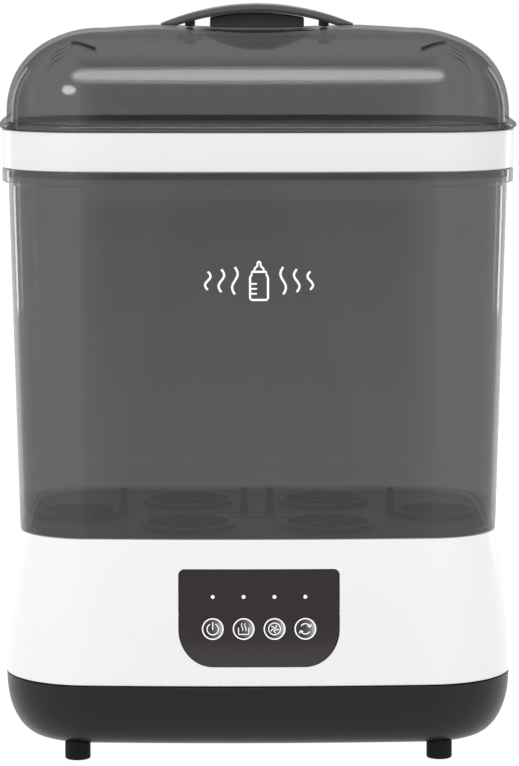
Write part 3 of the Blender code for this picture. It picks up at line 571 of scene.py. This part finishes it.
# feet: round studs with a rubber tread, trimmed to the shell's flank
for label, sx, sy in (("front_left", -1, -1), ("front_right", 1, -1), ("rear_left", -1, 1), ("rear_right", 1, 1)):
    profile = rounded([(0, 20, 0), (6.3, 20, 0), (6.3, 0.0, 1.0), (4.8, 0.0, 0.2), (4.6, 0.35, 0.1), (0, 0.35, 0)])
    foot = turned("foot_" + label + "_fine", profile, RUBBER, (sx * FOOT_X, sy * FOOT_Y), 48)
    under = [(r + 0.3, z - 0.3) for r, z in [lower_offset(angle) for angle in range(90, 0, -6)]] + [(43.8, 60)]
    boolean(foot, loft("under", under, None, start=True, end=True))
    place(foot, "base", "foot_rubber", "foot_" + label)

# ------------------------------------------------------------------ white housing
RECESS = 31.0
profile = [(housing_offset(z), z) for z in (46, 52, 58, 64, 70, 76, 82, 88, 94, 100, 105, 109)]
profile = rounded([(41.3, SEAM + 0.3, 0.4), (43.5, SEAM + 0.3, 0.9), (43.45, 42.0, 0)]) + profile
profile[0:0] = [(41.2, 43.0)]
profile += rounded([(36.0, 110.2, 0), (housing_offset(LEDGE), LEDGE, 0.6), (RECESS, LEDGE, 0.7), (RECESS - 0.2, DECK, 2.2), (24.0, DECK, 0)])
outer_end = len(profile)
housing_bm = bmesh.new()
rows = [[housing_bm.verts.new((x * MM, y * MM, z * MM)) for x, y in ring(r)] for r, z in profile]
inside = [(housing_offset(z) - 2.2, z) for z in (50, 60, 70, 80, 90, 100, 106)]
inside += rounded([(33.6, 109.0, 0), (33.4, 109.0, 0.3), (33.2, 108.0, 0), (28.6, 99.8, 1.5), (24.0, 99.8, 0)])
inner_rows = [[housing_bm.verts.new((x * MM, y * MM, z * MM)) for x, y in ring(r)] for r, z in inside]
for low, high in zip(rows, rows[1:]):
    bridge(housing_bm, low, high)
for low, high in zip(inner_rows, inner_rows[1:]):
    bridge(housing_bm, high, low)
bridge(housing_bm, inner_rows[0], rows[0])
housing_bm.faces.new(rows[-1])
housing_bm.faces.new(list(reversed(inner_rows[-1])))
housing = finished("housing", housing_bm, WHITE)


def panel_outline(grow=0.0, steps=14):
    half, low, high = 39.0 + grow, 49.85 - grow, 96.9 + grow
    points = []
    for cx, cz, rx, rz, start in (
        (half - 17, low + 18.5, 17, 18.5, -90), (half - 3, high - 3, 3, 3, 0),
        (-half + 3, high - 3, 3, 3, 90), (-half + 17, low + 18.5, 17, 18.5, 180),
    ):
        for step in range(steps + 1):
            angle = math.radians(start + 90 * step / steps)
            points.append((cx + rx * math.cos(angle), cz + rz * math.sin(angle)))
    return points


UPRIGHT = Matrix.Rotation(math.radians(90), 4, "X")
tools = [prism("t", panel_outline(0.25), -30, 30, None, Matrix.Translation((0, -0.095, 0)) @ UPRIGHT)]
tools.append(turned("t", [(0, 108), (47, 108), (47, 90), (0, 90)], None, PLATE_CENTRE, 64))
tools.append(prism("t", [(-30, DUCT_Y - 6), (30, DUCT_Y - 6), (30, DUCT_Y + 6), (-30, DUCT_Y + 6)], 90, 108))
tools.append(prism("t", [(INLET_X - 12.8, 80), (INLET_X + 12.8, 80), (INLET_X + 12.8, 100), (INLET_X - 12.8, 100)], INLET_Z - 8.3, INLET_Z + 8.3))
boolean(housing, merged("tools", tools))
place(housing, "base", "white_plastic", "base_housing")

# ------------------------------------------------------------------ control window, buttons and lenses
slab = bmesh.new()
columns, lines = 48, 40


def sheet(inset):
    return [
        [slab.verts.new(front_point(-41.0 + 82.0 * i / columns, 47.6 + 51.4 * j / lines, inset)[0]) for i in range(columns + 1)]
        for j in range(lines + 1)
    ]


face, back = sheet(0.5), sheet(2.9)
for j in range(lines):
    for i in range(columns):
        slab.faces.new((face[j][i], face[j][i + 1], face[j + 1][i + 1], face[j + 1][i]))
        slab.faces.new((back[j][i], back[j + 1][i], back[j + 1][i + 1], back[j][i + 1]))
for j in range(lines):
    slab.faces.new((face[j][0], face[j + 1][0], back[j + 1][0], back[j][0]))
    slab.faces.new((face[j][columns], back[j][columns], back[j + 1][columns], face[j + 1][columns]))
for i in range(columns):
    slab.faces.new((face[0][i], back[0][i], back[0][i + 1], face[0][i + 1]))
    slab.faces.new((face[lines][i], face[lines][i + 1], back[lines][i + 1], back[lines][i]))
panel = finished("control_window", slab, PANEL)
boolean(panel, prism("t", panel_outline(0.0), -30, 30, None, Matrix.Translation((0, -0.095, 0)) @ UPRIGHT), "INTERSECT")
holes = []
for x in BUTTON_X:
    holes.append(turned("t", [(0, 6), (5.62, 6), (5.62, -8), (0, -8)], None, steps=56, matrix=facing(*front_point(x, BUTTON_Z, 0.5))))
    holes.append(turned("t", [(0, 6), (1.2, 6), (1.2, -8), (0, -8)], None, steps=24, matrix=facing(*front_point(x, LED_Z, 0.5))))
boolean(panel, merged("tools", holes))
soften(panel, 0.22, 45, 2)
place(panel, "base", "panel_gloss", "control_panel")


def stroke(bm, points, width, height=0.10, base=0.0, closed=False):
    """A raised printed line of one width along points (mm, in the face's own plane)."""
    count, rows = len(points), []
    for n, (x, y) in enumerate(points):
        before = points[n - 1] if (n or closed) else points[n]
        after = points[(n + 1) % count] if (n < count - 1 or closed) else points[n]
        way = Vector((after[0] - before[0], after[1] - before[1])).normalized()
        side = Vector((-way.y, way.x)) * width / 2
        rows.append(
            [
                bm.verts.new(((x + side.x) * MM, (y + side.y) * MM, base * MM)),
                bm.verts.new(((x - side.x) * MM, (y - side.y) * MM, base * MM)),
                bm.verts.new(((x - side.x) * MM, (y - side.y) * MM, (base + height) * MM)),
                bm.verts.new(((x + side.x) * MM, (y + side.y) * MM, (base + height) * MM)),
            ]
        )
    pairs = list(zip(rows, rows[1:]))
    if closed:
        pairs.append((rows[-1], rows[0]))
    for a, b in pairs:
        for n in range(4):
            m = (n + 1) % 4
            bm.faces.new((a[n], b[n], b[m], a[m]))
    if not closed:
        bm.faces.new(rows[0])
        bm.faces.new(list(reversed(rows[-1])))


def circle(cx, cy, radius, start=0.0, stop=360.0, steps=48):
    closed = abs(stop - start) >= 360
    total = steps if closed else steps + 1
    return [
        (cx + radius * math.cos(math.radians(start + (stop - start) * n / steps)), cy + radius * math.sin(math.radians(start + (stop - start) * n / steps)))
        for n in range(total)
    ]


def icon_power(bm):
    stroke(bm, circle(0, -0.1, 2.75, 118, 422, 44), 0.52)
    stroke(bm, [(0, -0.4), (0, 1.2), (0, 3.3)], 0.52)


def icon_steam(bm):
    stroke(bm, [(-2.5, 0.6), (-2.5, -1.0), (-2.4, -2.6), (0, -2.65), (2.4, -2.6), (2.5, -1.0), (2.5, 0.6)], 0.5)
    for cx in (-0.75, 0.85):
        stroke(bm, [(cx + 0.34 * math.sin(t * 0.62 + 0.4), -0.9 + 0.42 * t) for t in range(10)], 0.42)


def icon_fan(bm):
    stroke(bm, circle(0, 0, 2.85, steps=48), 0.5, closed=True)
    for n in range(5):
        turn = 2 * math.pi * n / 5 + 0.3
        points = []
        for k in range(7):
            reach, sweep = 0.35 + 0.27 * k, turn + 0.16 * k
            points.append((reach * math.cos(sweep), reach * math.sin(sweep)))
        stroke(bm, points, 0.46)


def icon_cycle(bm):
    for turn in (0, 180):
        stroke(bm, circle(0, 0, 2.5, 20 + turn, 148 + turn, 26), 0.52)
        angle = math.radians(20 + turn)
        tip = Vector((2.5 * math.cos(angle), 2.5 * math.sin(angle)))
        back = Vector((-math.sin(angle), math.cos(angle)))
        out = Vector((math.cos(angle), math.sin(angle)))
        a, b = tip + back * 1.15 + out * 0.95, tip + back * 0.95 - out * 1.05
        stroke(bm, [tuple(a), tuple(tip - back * 0.12)], 0.45)
        stroke(bm, [tuple(tip - back * 0.12), tuple(b)], 0.45)


for x, name, body, icon in zip(BUTTON_X, BUTTON_NAMES, BUTTON_BODIES, (icon_power, icon_steam, icon_fan, icon_cycle)):
    at = facing(*front_point(x, BUTTON_Z, 0.5))
    profile = rounded(
        [(0, 0.0, 0), (4.55, 0.0, 0.3), (4.75, 0.12, 0.1), (5.35, 0.1, 0.25), (5.35, -2.9, 0), (6.2, -2.9, 0.2), (6.2, -3.9, 0.2), (1.6, -3.9, 0), (1.6, -5.9, 0.3), (0, -5.9, 0)],
        steps=3,
    )
    profile = [(0, 0.0), (2.5, 0.0)] + profile[1:]
    key = turned(name + "_fine", profile, button_painted_sheen(name + "_painted_sheen", x), steps=72, matrix=at)
    place(key, body, "button_gloss", name)
    marks = bmesh.new()
    stroke(marks, circle(0, 0, 4.98, steps=72), 0.62, height=0.12, base=0.08, closed=True)
    icon(marks)
    bmesh.ops.transform(marks, matrix=at, verts=marks.verts)
    bmesh.ops.recalc_face_normals(marks, faces=marks.faces)
    place(finished(name + "_mark", marks, PRINT), body)

for n, x in enumerate(BUTTON_X):
    profile = [(0, 0.18), (0.35, 0.16), (0.7, 0.08), (0.9, -0.05), (1.0, -0.25), (1.0, -4.0), (0, -4.0)]
    lens = turned("led_%d_fine" % (n + 1), profile, LENS, steps=28, matrix=facing(*front_point(x, LED_Z, 0.5)))
    place(lens, "base", "led_lens", "led_lens_%d" % (n + 1))

# ------------------------------------------------------------------ chamber
profile = [(31.4, 111.5, 0.6), (36.03, 111.5, 0.9), (chamber_offset(130), 130, 0)]
profile += [(chamber_offset(z), z, 0) for z in (155, 180, 205, 230, 255, 275)]
profile += [(chamber_offset(283.3), 283.3, 1.4), (43.3, 283.3, 0.8), (43.35, 290.0, 0.6), (40.9, 290.0, 0.5), (40.9, 285.7, 0.8)]
profile += [(37.9, 285.7, 1.5)] + [(chamber_offset(z) - 2.4, z, 0) for z in (270, 240, 210, 180, 150, 125)]
profile += [(33.65, 113.9, 1.0), (31.4, 113.9, 0.6)]
chamber = loft("chamber_wall", rounded(profile, closed=True, steps=4), SMOKE, closed=True)
place(chamber, "chamber", "smoke_plastic", "chamber_shell")

# ------------------------------------------------------------------ tray
outer = rounded([(38.0, 286.3, 0), (40.2, 286.3, 1.2), (40.2, 290.3, 0.6), (43.3, 290.3, 0.7), (43.45, 300.0, 0), (43.6, 309.0, 0.7), (41.3, 309.0, 0.6), (41.1, 292.5, 1.2), (38.0, 292.5, 1.0), (38.0, 288.5, 1.6), (34.0, 288.5, 0)])
tray_bm = bmesh.new()
rows = [[tray_bm.verts.new((x * MM, y * MM, z * MM)) for x, y in ring(r)] for r, z in outer]
for low, high in zip(rows, rows[1:]):
    bridge(tray_bm, low, high)
tray_bm.faces.new(list(reversed(rows[0])))
tray_bm.faces.new(rows[-1])
tray = finished("tray_band", tray_bm, TRAY_WHITE_SHADED)
tools = []
for n in range(13):
    x = -96.0 + 16.0 * n
    for low, high in ((-60.0, -8.0), (8.0, 60.0)):
        tools.append(prism("t", pill(x, (low + high) / 2, high - low, 6.4, math.pi / 2), 280, 296))
boolean(tray, merged("tools", tools))
place(tray, "tray", "white_plastic", "accessory_tray")

# ------------------------------------------------------------------ lid
LID_XS = tuple(float(x) for x in (-74, -68, -62, -57, -53, -50, -47, -43, -39, -35, -31, -27, -23, -19, -15, -11, -7, -3.5, 0, 3.5, 7, 11, 15, 19, 23, 27, 31, 35, 39, 43, 47, 50, 53, 57, 62, 68, 74))
LID_YS = tuple(float(y) for y in (-43, -39, -36, -33, -30, -27, -24, -21, -18, -15, -12, -9, -7, -4, 0, 4, 7, 9, 12, 15, 18, 21, 24, 27, 30, 33, 36, 39, 43))


def channel(x):
    return CHANNEL_LOW + CHANNEL_RISE * (x / CHANNEL_HALF) ** 2


def blend_low(a, b, width=0.9):
    """The lower of two heights, with a rounded meeting edge."""
    share = max(0.0, min(1.0, 0.5 + 0.5 * (b - a) / width))
    return b * (1 - share) + a * share - width * share * (1 - share) * 0.5


def dip(z, x, y, drop=0.0):
    if abs(x) > 60:
        return z
    return blend_low(z, channel(x) - drop)


def scoop(x, y):
    reach = (x / 29.0) ** 2 + ((abs(y) - 21.0) / 15.0) ** 2
    return 8.0 * (1 - min(1.0, reach)) ** 1.2


def lid_side(bm, profile, drop, up):
    """One face of the dome: rings, then a grid over the crown. Returns its first ring."""
    plan = dict(xs=LID_XS, ys=LID_YS, corner=16)
    rows = [[bm.verts.new((x * MM, y * MM, dip(z, x, y, drop) * MM)) for x, y in ring(r, **plan)] for r, z in profile]

    def face(*verts):
        bm.faces.new(verts if up else tuple(reversed(verts)))

    for low, high in zip(rows, rows[1:]):
        for here in range(len(low)):
            there = (here + 1) % len(low)
            face(low[here], low[there], high[there], high[here])
    xs, ys, cells = (-SPINE_X, *LID_XS, SPINE_X), (-SPINE_Y, *LID_YS, SPINE_Y), {}
    for i, x in enumerate(xs):
        half = HALF_Y - FRONT_RADIUS + math.sqrt(FRONT_RADIUS**2 - x**2)
        for j, v in enumerate(ys):
            y = v * (1 + (half / SPINE_Y - 1) * (abs(v) / SPINE_Y) ** 6)
            wide = x
            if i in (0, len(xs) - 1) and abs(v) < SPINE_Y:
                wide = math.copysign(HALF_X - SIDE_RADIUS + math.sqrt(SIDE_RADIUS**2 - y**2), x)
            reach = ((abs(wide) / 84.0) ** 6 + (abs(y) / 50.7) ** 6) ** (1 / 6)
            z = LID_SPRING + LID_RISE + CROWN_RISE * (1 - min(1.0, reach) ** 2) - drop
            cells[i, j] = bm.verts.new((wide * MM, y * MM, (dip(z, wide, y, drop) - scoop(wide, y)) * MM))
    for i in range(len(xs) - 1):
        for j in range(len(ys) - 1):
            face(cells[i, j], cells[i + 1, j], cells[i + 1, j + 1], cells[i, j + 1])
    last_x, last_y, corner = len(xs) - 1, len(ys) - 1, 17
    keys = [(last_x, 0)] * corner + [(last_x, j) for j in range(1, last_y)] + [(last_x, last_y)] * corner
    keys += [(i, last_y) for i in range(last_x - 1, 0, -1)] + [(0, last_y)] * corner
    keys += [(0, j) for j in range(last_y - 1, 0, -1)] + [(0, 0)] * corner + [(i, 0) for i in range(1, last_x)]
    edge = rows[-1]
    for here in range(len(edge)):
        there = (here + 1) % len(edge)
        a, b = cells[keys[there]], cells[keys[here]]
        face(*((edge[here], edge[there], a) if a is b else (edge[here], edge[there], a, b)))
    return rows[0]


def dome(drop):
    points = []
    for n in range(23):
        angle = math.radians(90 * n / 22)
        r = LID_CENTRE + (LID_REACH - drop) * max(0.0, math.cos(angle)) ** (2 / LID_POWER) - HALF_X
        if r > 2.0:
            points.append((r, LID_SPRING + (LID_RISE - drop) * math.sin(angle) ** (2 / LID_POWER)))
    return points + [(CROWN_OFFSET, LID_SPRING + LID_RISE - drop)]


lip = rounded([(40.4, 306.0, 0.4), (40.6, 309.5, 0.3), (44.6, 309.5, 1.2), (44.6, 312.3, 1.3), (41.1, 312.5, 0.6), (40.95, 315.0, 0)], steps=5)
outer = lip[:-1] + dome(0.0)
inner = [(38.6, 306.0), (38.65, 312.0), (38.7, 313.5)] + dome(2.2)
lid_bm = bmesh.new()
outer_edge = lid_side(lid_bm, outer, 0.0, True)
inner_edge = lid_side(lid_bm, inner, 2.2, False)
bridge(lid_bm, inner_edge, outer_edge)
lid = finished("lid_dome", lid_bm, SMOKE_LID, sharp=50)
tools = []
for side in (-1, 1):
    tools.append(prism("t", pill(side * 84.3, -68.1, 15.0, 2.5, math.radians(34.0 * side)), 330, 362))
for side in (-1, 1):
    tools.append(turned("t", [(0, 365), (1.9, 365), (1.9, 340), (0, 340)], None, (side * LEG_X, 0.0), 20))
boolean(lid, merged("tools", tools), sharp=50)
place(lid, "lid", "smoke_plastic", "lid_shell")


def lid_height(x, y):
    """Height of the lid's outer face over a point of the plan."""
    if abs(x) > SPINE_X and abs(y) > SPINE_Y:
        offset = math.hypot(abs(x) - SPINE_X, abs(y) - SPINE_Y)
    else:
        offset = max(abs(x) - HALF_X, abs(y) - (HALF_Y - FRONT_RADIUS + math.sqrt(max(1.0, FRONT_RADIUS**2 - x**2))))
    return dip(shoulder_height(max(offset, CROWN_OFFSET)), x, y)


# dark strips seated in the two front vents, following the dome just under its skin: painted shade that keeps the vents
# dark
for label, sx, sy in (("front_left", -1, -1), ("front_right", 1, -1)):
    shade_strip, rows, turn = bmesh.new(), [], math.radians(-34.0 * sx * sy)
    for k in range(15):
        along = -7.2 + 14.4 * k / 14
        half = math.sqrt(max(0.0, 0.95**2 - max(0.0, abs(along) - 6.25) ** 2)) + 0.02
        row = []
        for side, sink in ((-1, 1.2), (1, 1.2), (1, 0.6), (-1, 0.6)):
            x = sx * 84.3 + along * math.cos(turn) - side * half * math.sin(turn)
            y = sy * 68.1 + along * math.sin(turn) + side * half * math.cos(turn)
            row.append(shade_strip.verts.new((x * MM, y * MM, (lid_height(x, y) - sink) * MM)))
        rows.append(row)
    for a, b in zip(rows, rows[1:]):
        bridge(shade_strip, a, b)
    shade_strip.faces.new(list(reversed(rows[0])))
    shade_strip.faces.new(rows[-1])
    bmesh.ops.recalc_face_normals(shade_strip, faces=shade_strip.faces)
    place(finished("vent_shade_strip_" + label, shade_strip, RUBBER), "lid")

# small raised steam waves moulded beside each front vent
for label, sx in (("left", -1), ("right", 1)):
    waves = bmesh.new()
    for n in range(3):
        path = []
        for k in range(13):
            along, across = (k / 12 - 0.5) * 11.0 + 1.2 * (n - 1), 2.3 * (n - 1) + 0.55 * math.sin(k / 12 * 2 * math.pi)
            lean = math.radians(22.0)
            x = sx * (96.7 - along * math.cos(lean) + across * math.sin(lean))
            y = -72.0 + along * math.sin(lean) + across * math.cos(lean)
            path.append(Vector((x, y, lid_height(x, y))))
        rows = []
        for k, point in enumerate(path):
            way = (path[min(k + 1, len(path) - 1)] - path[max(k - 1, 0)]).normalized()
            side = way.cross(Vector((0, 0, 1))).normalized()
            lift = side.cross(way).normalized()
            size = 0.34 * min(1.0, 0.35 + 1.4 * min(k, len(path) - 1 - k) / 6)
            rows.append([waves.verts.new((point + side * size * math.cos(a) + lift * size * 0.8 * math.sin(a)) * MM) for a in [math.pi / 3 * q for q in range(6)]])
        for a, b in zip(rows, rows[1:]):
            bridge(waves, a, b)
        waves.faces.new(list(reversed(rows[0])))
        waves.faces.new(rows[-1])
    bmesh.ops.recalc_face_normals(waves, faces=waves.faces)
    place(finished("lid_steam_mark_" + label, waves, HANDLE), "lid")

# ------------------------------------------------------------------ handle
REST = 0.4
TIP = 48.0


def arch_section(x):
    top = ARCH_TOP - ARCH_DROP * x**2
    under = max(ARCH_UNDER - ARCH_UNDER_DROP * x**2, channel(x) + REST)
    half = 11.0 - 4.5 * (x / TIP) ** 2
    thick = top - under
    edge, shelf = min(2.5, thick * 0.58), min(2.2, thick * 0.6)
    nip = min(0.5, thick * 0.2)
    side = [(half - nip, under), (half - 0.15 * nip, under + 0.35 * nip), (half, under + nip)]
    side += [(half, top - edge - 0.12), (half - 0.1, top - edge)]
    for n in range(1, 7):
        angle = math.radians(90 * n / 6)
        side.append((half - 0.1 - shelf * math.sin(angle) ** 1.0, top - 0.25 * edge - 0.75 * edge * (1 - math.sin(angle)) + 0.0))
    side += [(half * 0.45, top - 0.04), (half * 0.2, top)]
    full = side + [(-y, z) for y, z in reversed(side)]
    return [(x * MM, y * MM, z * MM) for y, z in full]


arch_bm = bmesh.new()
stations = [-TIP, -TIP + 0.6] + [-46.5 + 1.5 * n for n in range(63)] + [TIP - 0.6, TIP]
rows = [[arch_bm.verts.new(p) for p in arch_section(x)] for x in stations]
for a, b in zip(rows, rows[1:]):
    bridge(arch_bm, a, b)
arch_bm.faces.new(list(reversed(rows[0])))
arch_bm.faces.new(rows[-1])
bmesh.ops.recalc_face_normals(arch_bm, faces=arch_bm.faces)
arch = finished("carry_arch", arch_bm, HANDLE, sharp=28)
for side in (-1, 1):
    low = channel(36.0) + REST
    a, b = sorted((side * 31.0, side * 36.0))
    leg = prism("t", [(a, -4), (b, -4), (b, 4), (a, 4)], low, 362.0)
    soften(leg, 0.5, 40, 2)
    boolean(arch, leg, "UNION", sharp=28)
boolean(arch, merged("tools", [turned("t", [(0, 361.6), (1.7, 361.6), (1.7, 350), (0, 350)], None, (s * LEG_X, 0), 20) for s in (-1, 1)]), sharp=28)
place(arch, "lid", "handle_plastic", "handle_arch")

grip_line = [(x, channel(x) + REST) for x in spread(15, 23.5)]
grip_line = [(-23.5, channel(23.5) + REST)] + grip_line + [(23.5, channel(23.5) + REST)]
grip_line += [(x, ARCH_UNDER - ARCH_UNDER_DROP * x**2 - 0.3) for x in (23.5, *reversed(spread(15, 23.5)), -23.5)]
grip = prism("grip_block", grip_line, -6.0, 6.0, GRIP, UPRIGHT)
soften(grip, 0.6, 50, 3)
place(grip, "lid", "grip_plastic", "handle_grip")

# ------------------------------------------------------------------ printed bottle-and-steam mark on the chamber
mark = bmesh.new()


def bottle_outline():
    return [(-4.3, -8.6), (-4.3, 1.6), (-3.5, 3.0), (-3.5, 4.3), (3.5, 4.3), (3.5, 3.0), (4.3, 1.6), (4.3, -8.6), (3.6, -9.3), (-3.6, -9.3)]


stroke(mark, bottle_outline(), 1.0, closed=True, height=0.12)
stroke(mark, [(-2.3, 4.8), (-2.1, 6.0), (-0.9, 6.9), (-0.7, 8.7), (0, 9.3), (0.7, 8.7), (0.9, 6.9), (2.1, 6.0), (2.3, 4.8)], 0.95, height=0.12)
for level in (-6.3, -3.9, -1.5):
    stroke(mark, [(-3.9, level), (-1.0, level)], 0.75, height=0.12)
for side in (-1, 1):
    for n in range(3):
        span = 6.6 - 1.1 * n
        cx = side * (11.6 + 6.5 * n)
        stroke(mark, [(cx + side * 1.35 * math.sin(t / 14 * 2 * math.pi), -span + 2 * span * t / 14) for t in range(15)], 1.05, height=0.12)
for vert in mark.verts:
    x, z, proud = vert.co.x / MM, vert.co.y / MM + 238.0, vert.co.z / MM
    vert.co = Vector((x, chamber_front(x, z, 0.03 + proud), z)) * MM
bmesh.ops.recalc_face_normals(mark, faces=mark.faces)
place(finished("chamber_mark", mark, PRINT), "chamber")

# ------------------------------------------------------------------ room: floor, world and lights
floor_bm = bmesh.new()
bmesh.ops.create_grid(floor_bm, x_segments=2, y_segments=2, size=6.0)
floor_mat, tree, out = new_material("pale_floor")
shader = tree.nodes.new("ShaderNodeBsdfPrincipled")
shader.inputs["Base Color"].default_value = (0.06, 0.06, 0.06, 1)
shader.inputs["Roughness"].default_value = 0.9
shader.inputs["Specular IOR Level"].default_value = 0.0
# painted light: the floor is dark and glows white, dimmer far ahead of the object and brighter past its flanks, and the
# glow fills in its own shadows
shader.inputs["Emission Color"].default_value = (1, 1, 1, 1)
where = tree.nodes.new("ShaderNodeTexCoord")
axes = tree.nodes.new("ShaderNodeSeparateXYZ")
link(tree, where.outputs["Object"], axes.inputs["Vector"])
depth = tree.nodes.new("ShaderNodeMapRange")
depth.inputs["From Min"].default_value = -2.5
depth.inputs["From Max"].default_value = 0.0
link(tree, axes.outputs["Y"], depth.inputs["Value"])
fall = tree.nodes.new("ShaderNodeValToRGB")
fall.color_ramp.elements[0].position = 0.0
fall.color_ramp.elements[0].color = (0.26, 0.26, 0.26, 1)
fall.color_ramp.elements[1].position = 0.955
fall.color_ramp.elements[1].color = (1.0, 1.0, 1.0, 1)
for spot, level in ((0.53, 0.56), (0.78, 0.76), (0.90, 0.84)):
    fall.color_ramp.elements.new(spot).color = (level, level, level, 1)
link(tree, depth.outputs["Result"], fall.inputs["Fac"])
reach_x = tree.nodes.new("ShaderNodeMath")
reach_x.operation = "ABSOLUTE"
link(tree, axes.outputs["X"], reach_x.inputs[0])
past = tree.nodes.new("ShaderNodeMath")
past.operation = "SUBTRACT"
past.inputs[1].default_value = 0.09
link(tree, reach_x.outputs["Value"], past.inputs[0])
ahead = tree.nodes.new("ShaderNodeMapRange")
ahead.inputs["From Min"].default_value = -6.09
ahead.inputs["From Max"].default_value = -0.09
ahead.inputs["To Min"].default_value = 6.0
ahead.inputs["To Max"].default_value = 0.02
link(tree, axes.outputs["Y"], ahead.inputs["Value"])
ratio = tree.nodes.new("ShaderNodeMath")
ratio.operation = "DIVIDE"
link(tree, past.outputs["Value"], ratio.inputs[0])
link(tree, ahead.outputs["Result"], ratio.inputs[1])
flank_share = tree.nodes.new("ShaderNodeMapRange")
flank_share.inputs["From Min"].default_value = 0.13
flank_share.inputs["From Max"].default_value = 0.30
link(tree, ratio.outputs["Value"], flank_share.inputs["Value"])
blend = tree.nodes.new("ShaderNodeMix")
blend.data_type = "RGBA"
link(tree, flank_share.outputs["Result"], blend.inputs["Factor"])
link(tree, fall.outputs["Color"], blend.inputs["A"])
blend.inputs["B"].default_value = (1.1, 1.1, 1.1, 1.0)
link(tree, blend.outputs["Result"], shader.inputs["Emission Color"])
shader.inputs["Emission Strength"].default_value = 1.0
link(tree, shader.outputs["BSDF"], out.inputs["Surface"])
floor_mat.cycles.emission_sampling = "NONE"
floor = finished("floor", floor_bm, floor_mat)
floor.location.z = -0.0004
floor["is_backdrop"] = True

world = bpy.data.worlds.new("studio")
bpy.context.scene.world = world
world.use_nodes = True
tree = world.node_tree
tree.nodes.clear()
out = tree.nodes.new("ShaderNodeOutputWorld")
plain = tree.nodes.new("ShaderNodeBackground")
plain.inputs["Color"].default_value = (1, 1, 1, 1)
plain.inputs["Strength"].default_value = 1.0
soft = tree.nodes.new("ShaderNodeBackground")
soft.inputs["Strength"].default_value = 1.0
at = tree.nodes.new("ShaderNodeTexCoord")
split = tree.nodes.new("ShaderNodeSeparateXYZ")
link(tree, at.outputs["Generated"], split.inputs["Vector"])
sideways = tree.nodes.new("ShaderNodeMath")
sideways.operation = "ABSOLUTE"
link(tree, split.outputs["X"], sideways.inputs[0])
sides = tree.nodes.new("ShaderNodeMapRange")
sides.inputs["From Min"].default_value = 0.13
sides.inputs["From Max"].default_value = 0.24
link(tree, sideways.outputs["Value"], sides.inputs["Value"])
behind = tree.nodes.new("ShaderNodeMapRange")
behind.inputs["From Min"].default_value = -0.3
behind.inputs["From Max"].default_value = 0.1
link(tree, split.outputs["Y"], behind.inputs["Value"])
wider = tree.nodes.new("ShaderNodeMath")
wider.operation = "MAXIMUM"
link(tree, sides.outputs["Result"], wider.inputs[0])
link(tree, behind.outputs["Result"], wider.inputs[1])
fade = tree.nodes.new("ShaderNodeMapRange")
fade.inputs["To Min"].default_value = 0.25
fade.inputs["To Max"].default_value = 1.05
link(tree, wider.outputs["Value"], fade.inputs["Value"])
link(tree, fade.outputs["Result"], soft.inputs["Color"])
seen = tree.nodes.new("ShaderNodeLightPath")
choose = tree.nodes.new("ShaderNodeMixShader")
link(tree, seen.outputs["Is Camera Ray"], choose.inputs["Fac"])
link(tree, soft.outputs["Background"], choose.inputs[1])
link(tree, plain.outputs["Background"], choose.inputs[2])
link(tree, choose.outputs["Shader"], out.inputs["Surface"])


def softbox(name, at, aim, width, height, radiance, shape="RECTANGLE"):
    data = bpy.data.lights.new(name, "AREA")
    data.shape = shape
    data.size, data.size_y = width, height
    data.energy = radiance * width * height * math.pi
    lamp = bpy.data.objects.new(name, data)
    bpy.context.scene.collection.objects.link(lamp)
    lamp.location = at
    way = Vector(aim) - Vector(at)
    lamp.rotation_euler = way.to_track_quat("-Z", "Y").to_euler()
    lamp.visible_camera = False
    return lamp


softbox("front_wide", (0.0, -0.714, 1.237), (0, -0.083, 0.336), 1.10, 0.60, 1.6, "ELLIPSE")
softbox("front_core", (0.0, -0.70, 1.22), (0, -0.083, 0.336), 0.92, 0.36, 3.0, "ELLIPSE")
softbox("spark", (-0.633, -0.976, 0.923), (-0.091, -0.085, 0.329), 0.40, 0.26, 7.0, "ELLIPSE")
inner_light = softbox("inner_glow", (0.0, 0.0, 0.278), (0, 0.0, 0.1), 0.20, 0.12, 0.5)
inner_light.visible_glossy = False
softbox("rim_left", (-1.35, 1.15, 0.45), (0, 0, 0.25), 0.22, 1.3, 5.0)
softbox("rim_right", (1.35, 1.15, 0.45), (0, 0, 0.25), 0.22, 1.3, 5.0)

low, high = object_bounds()
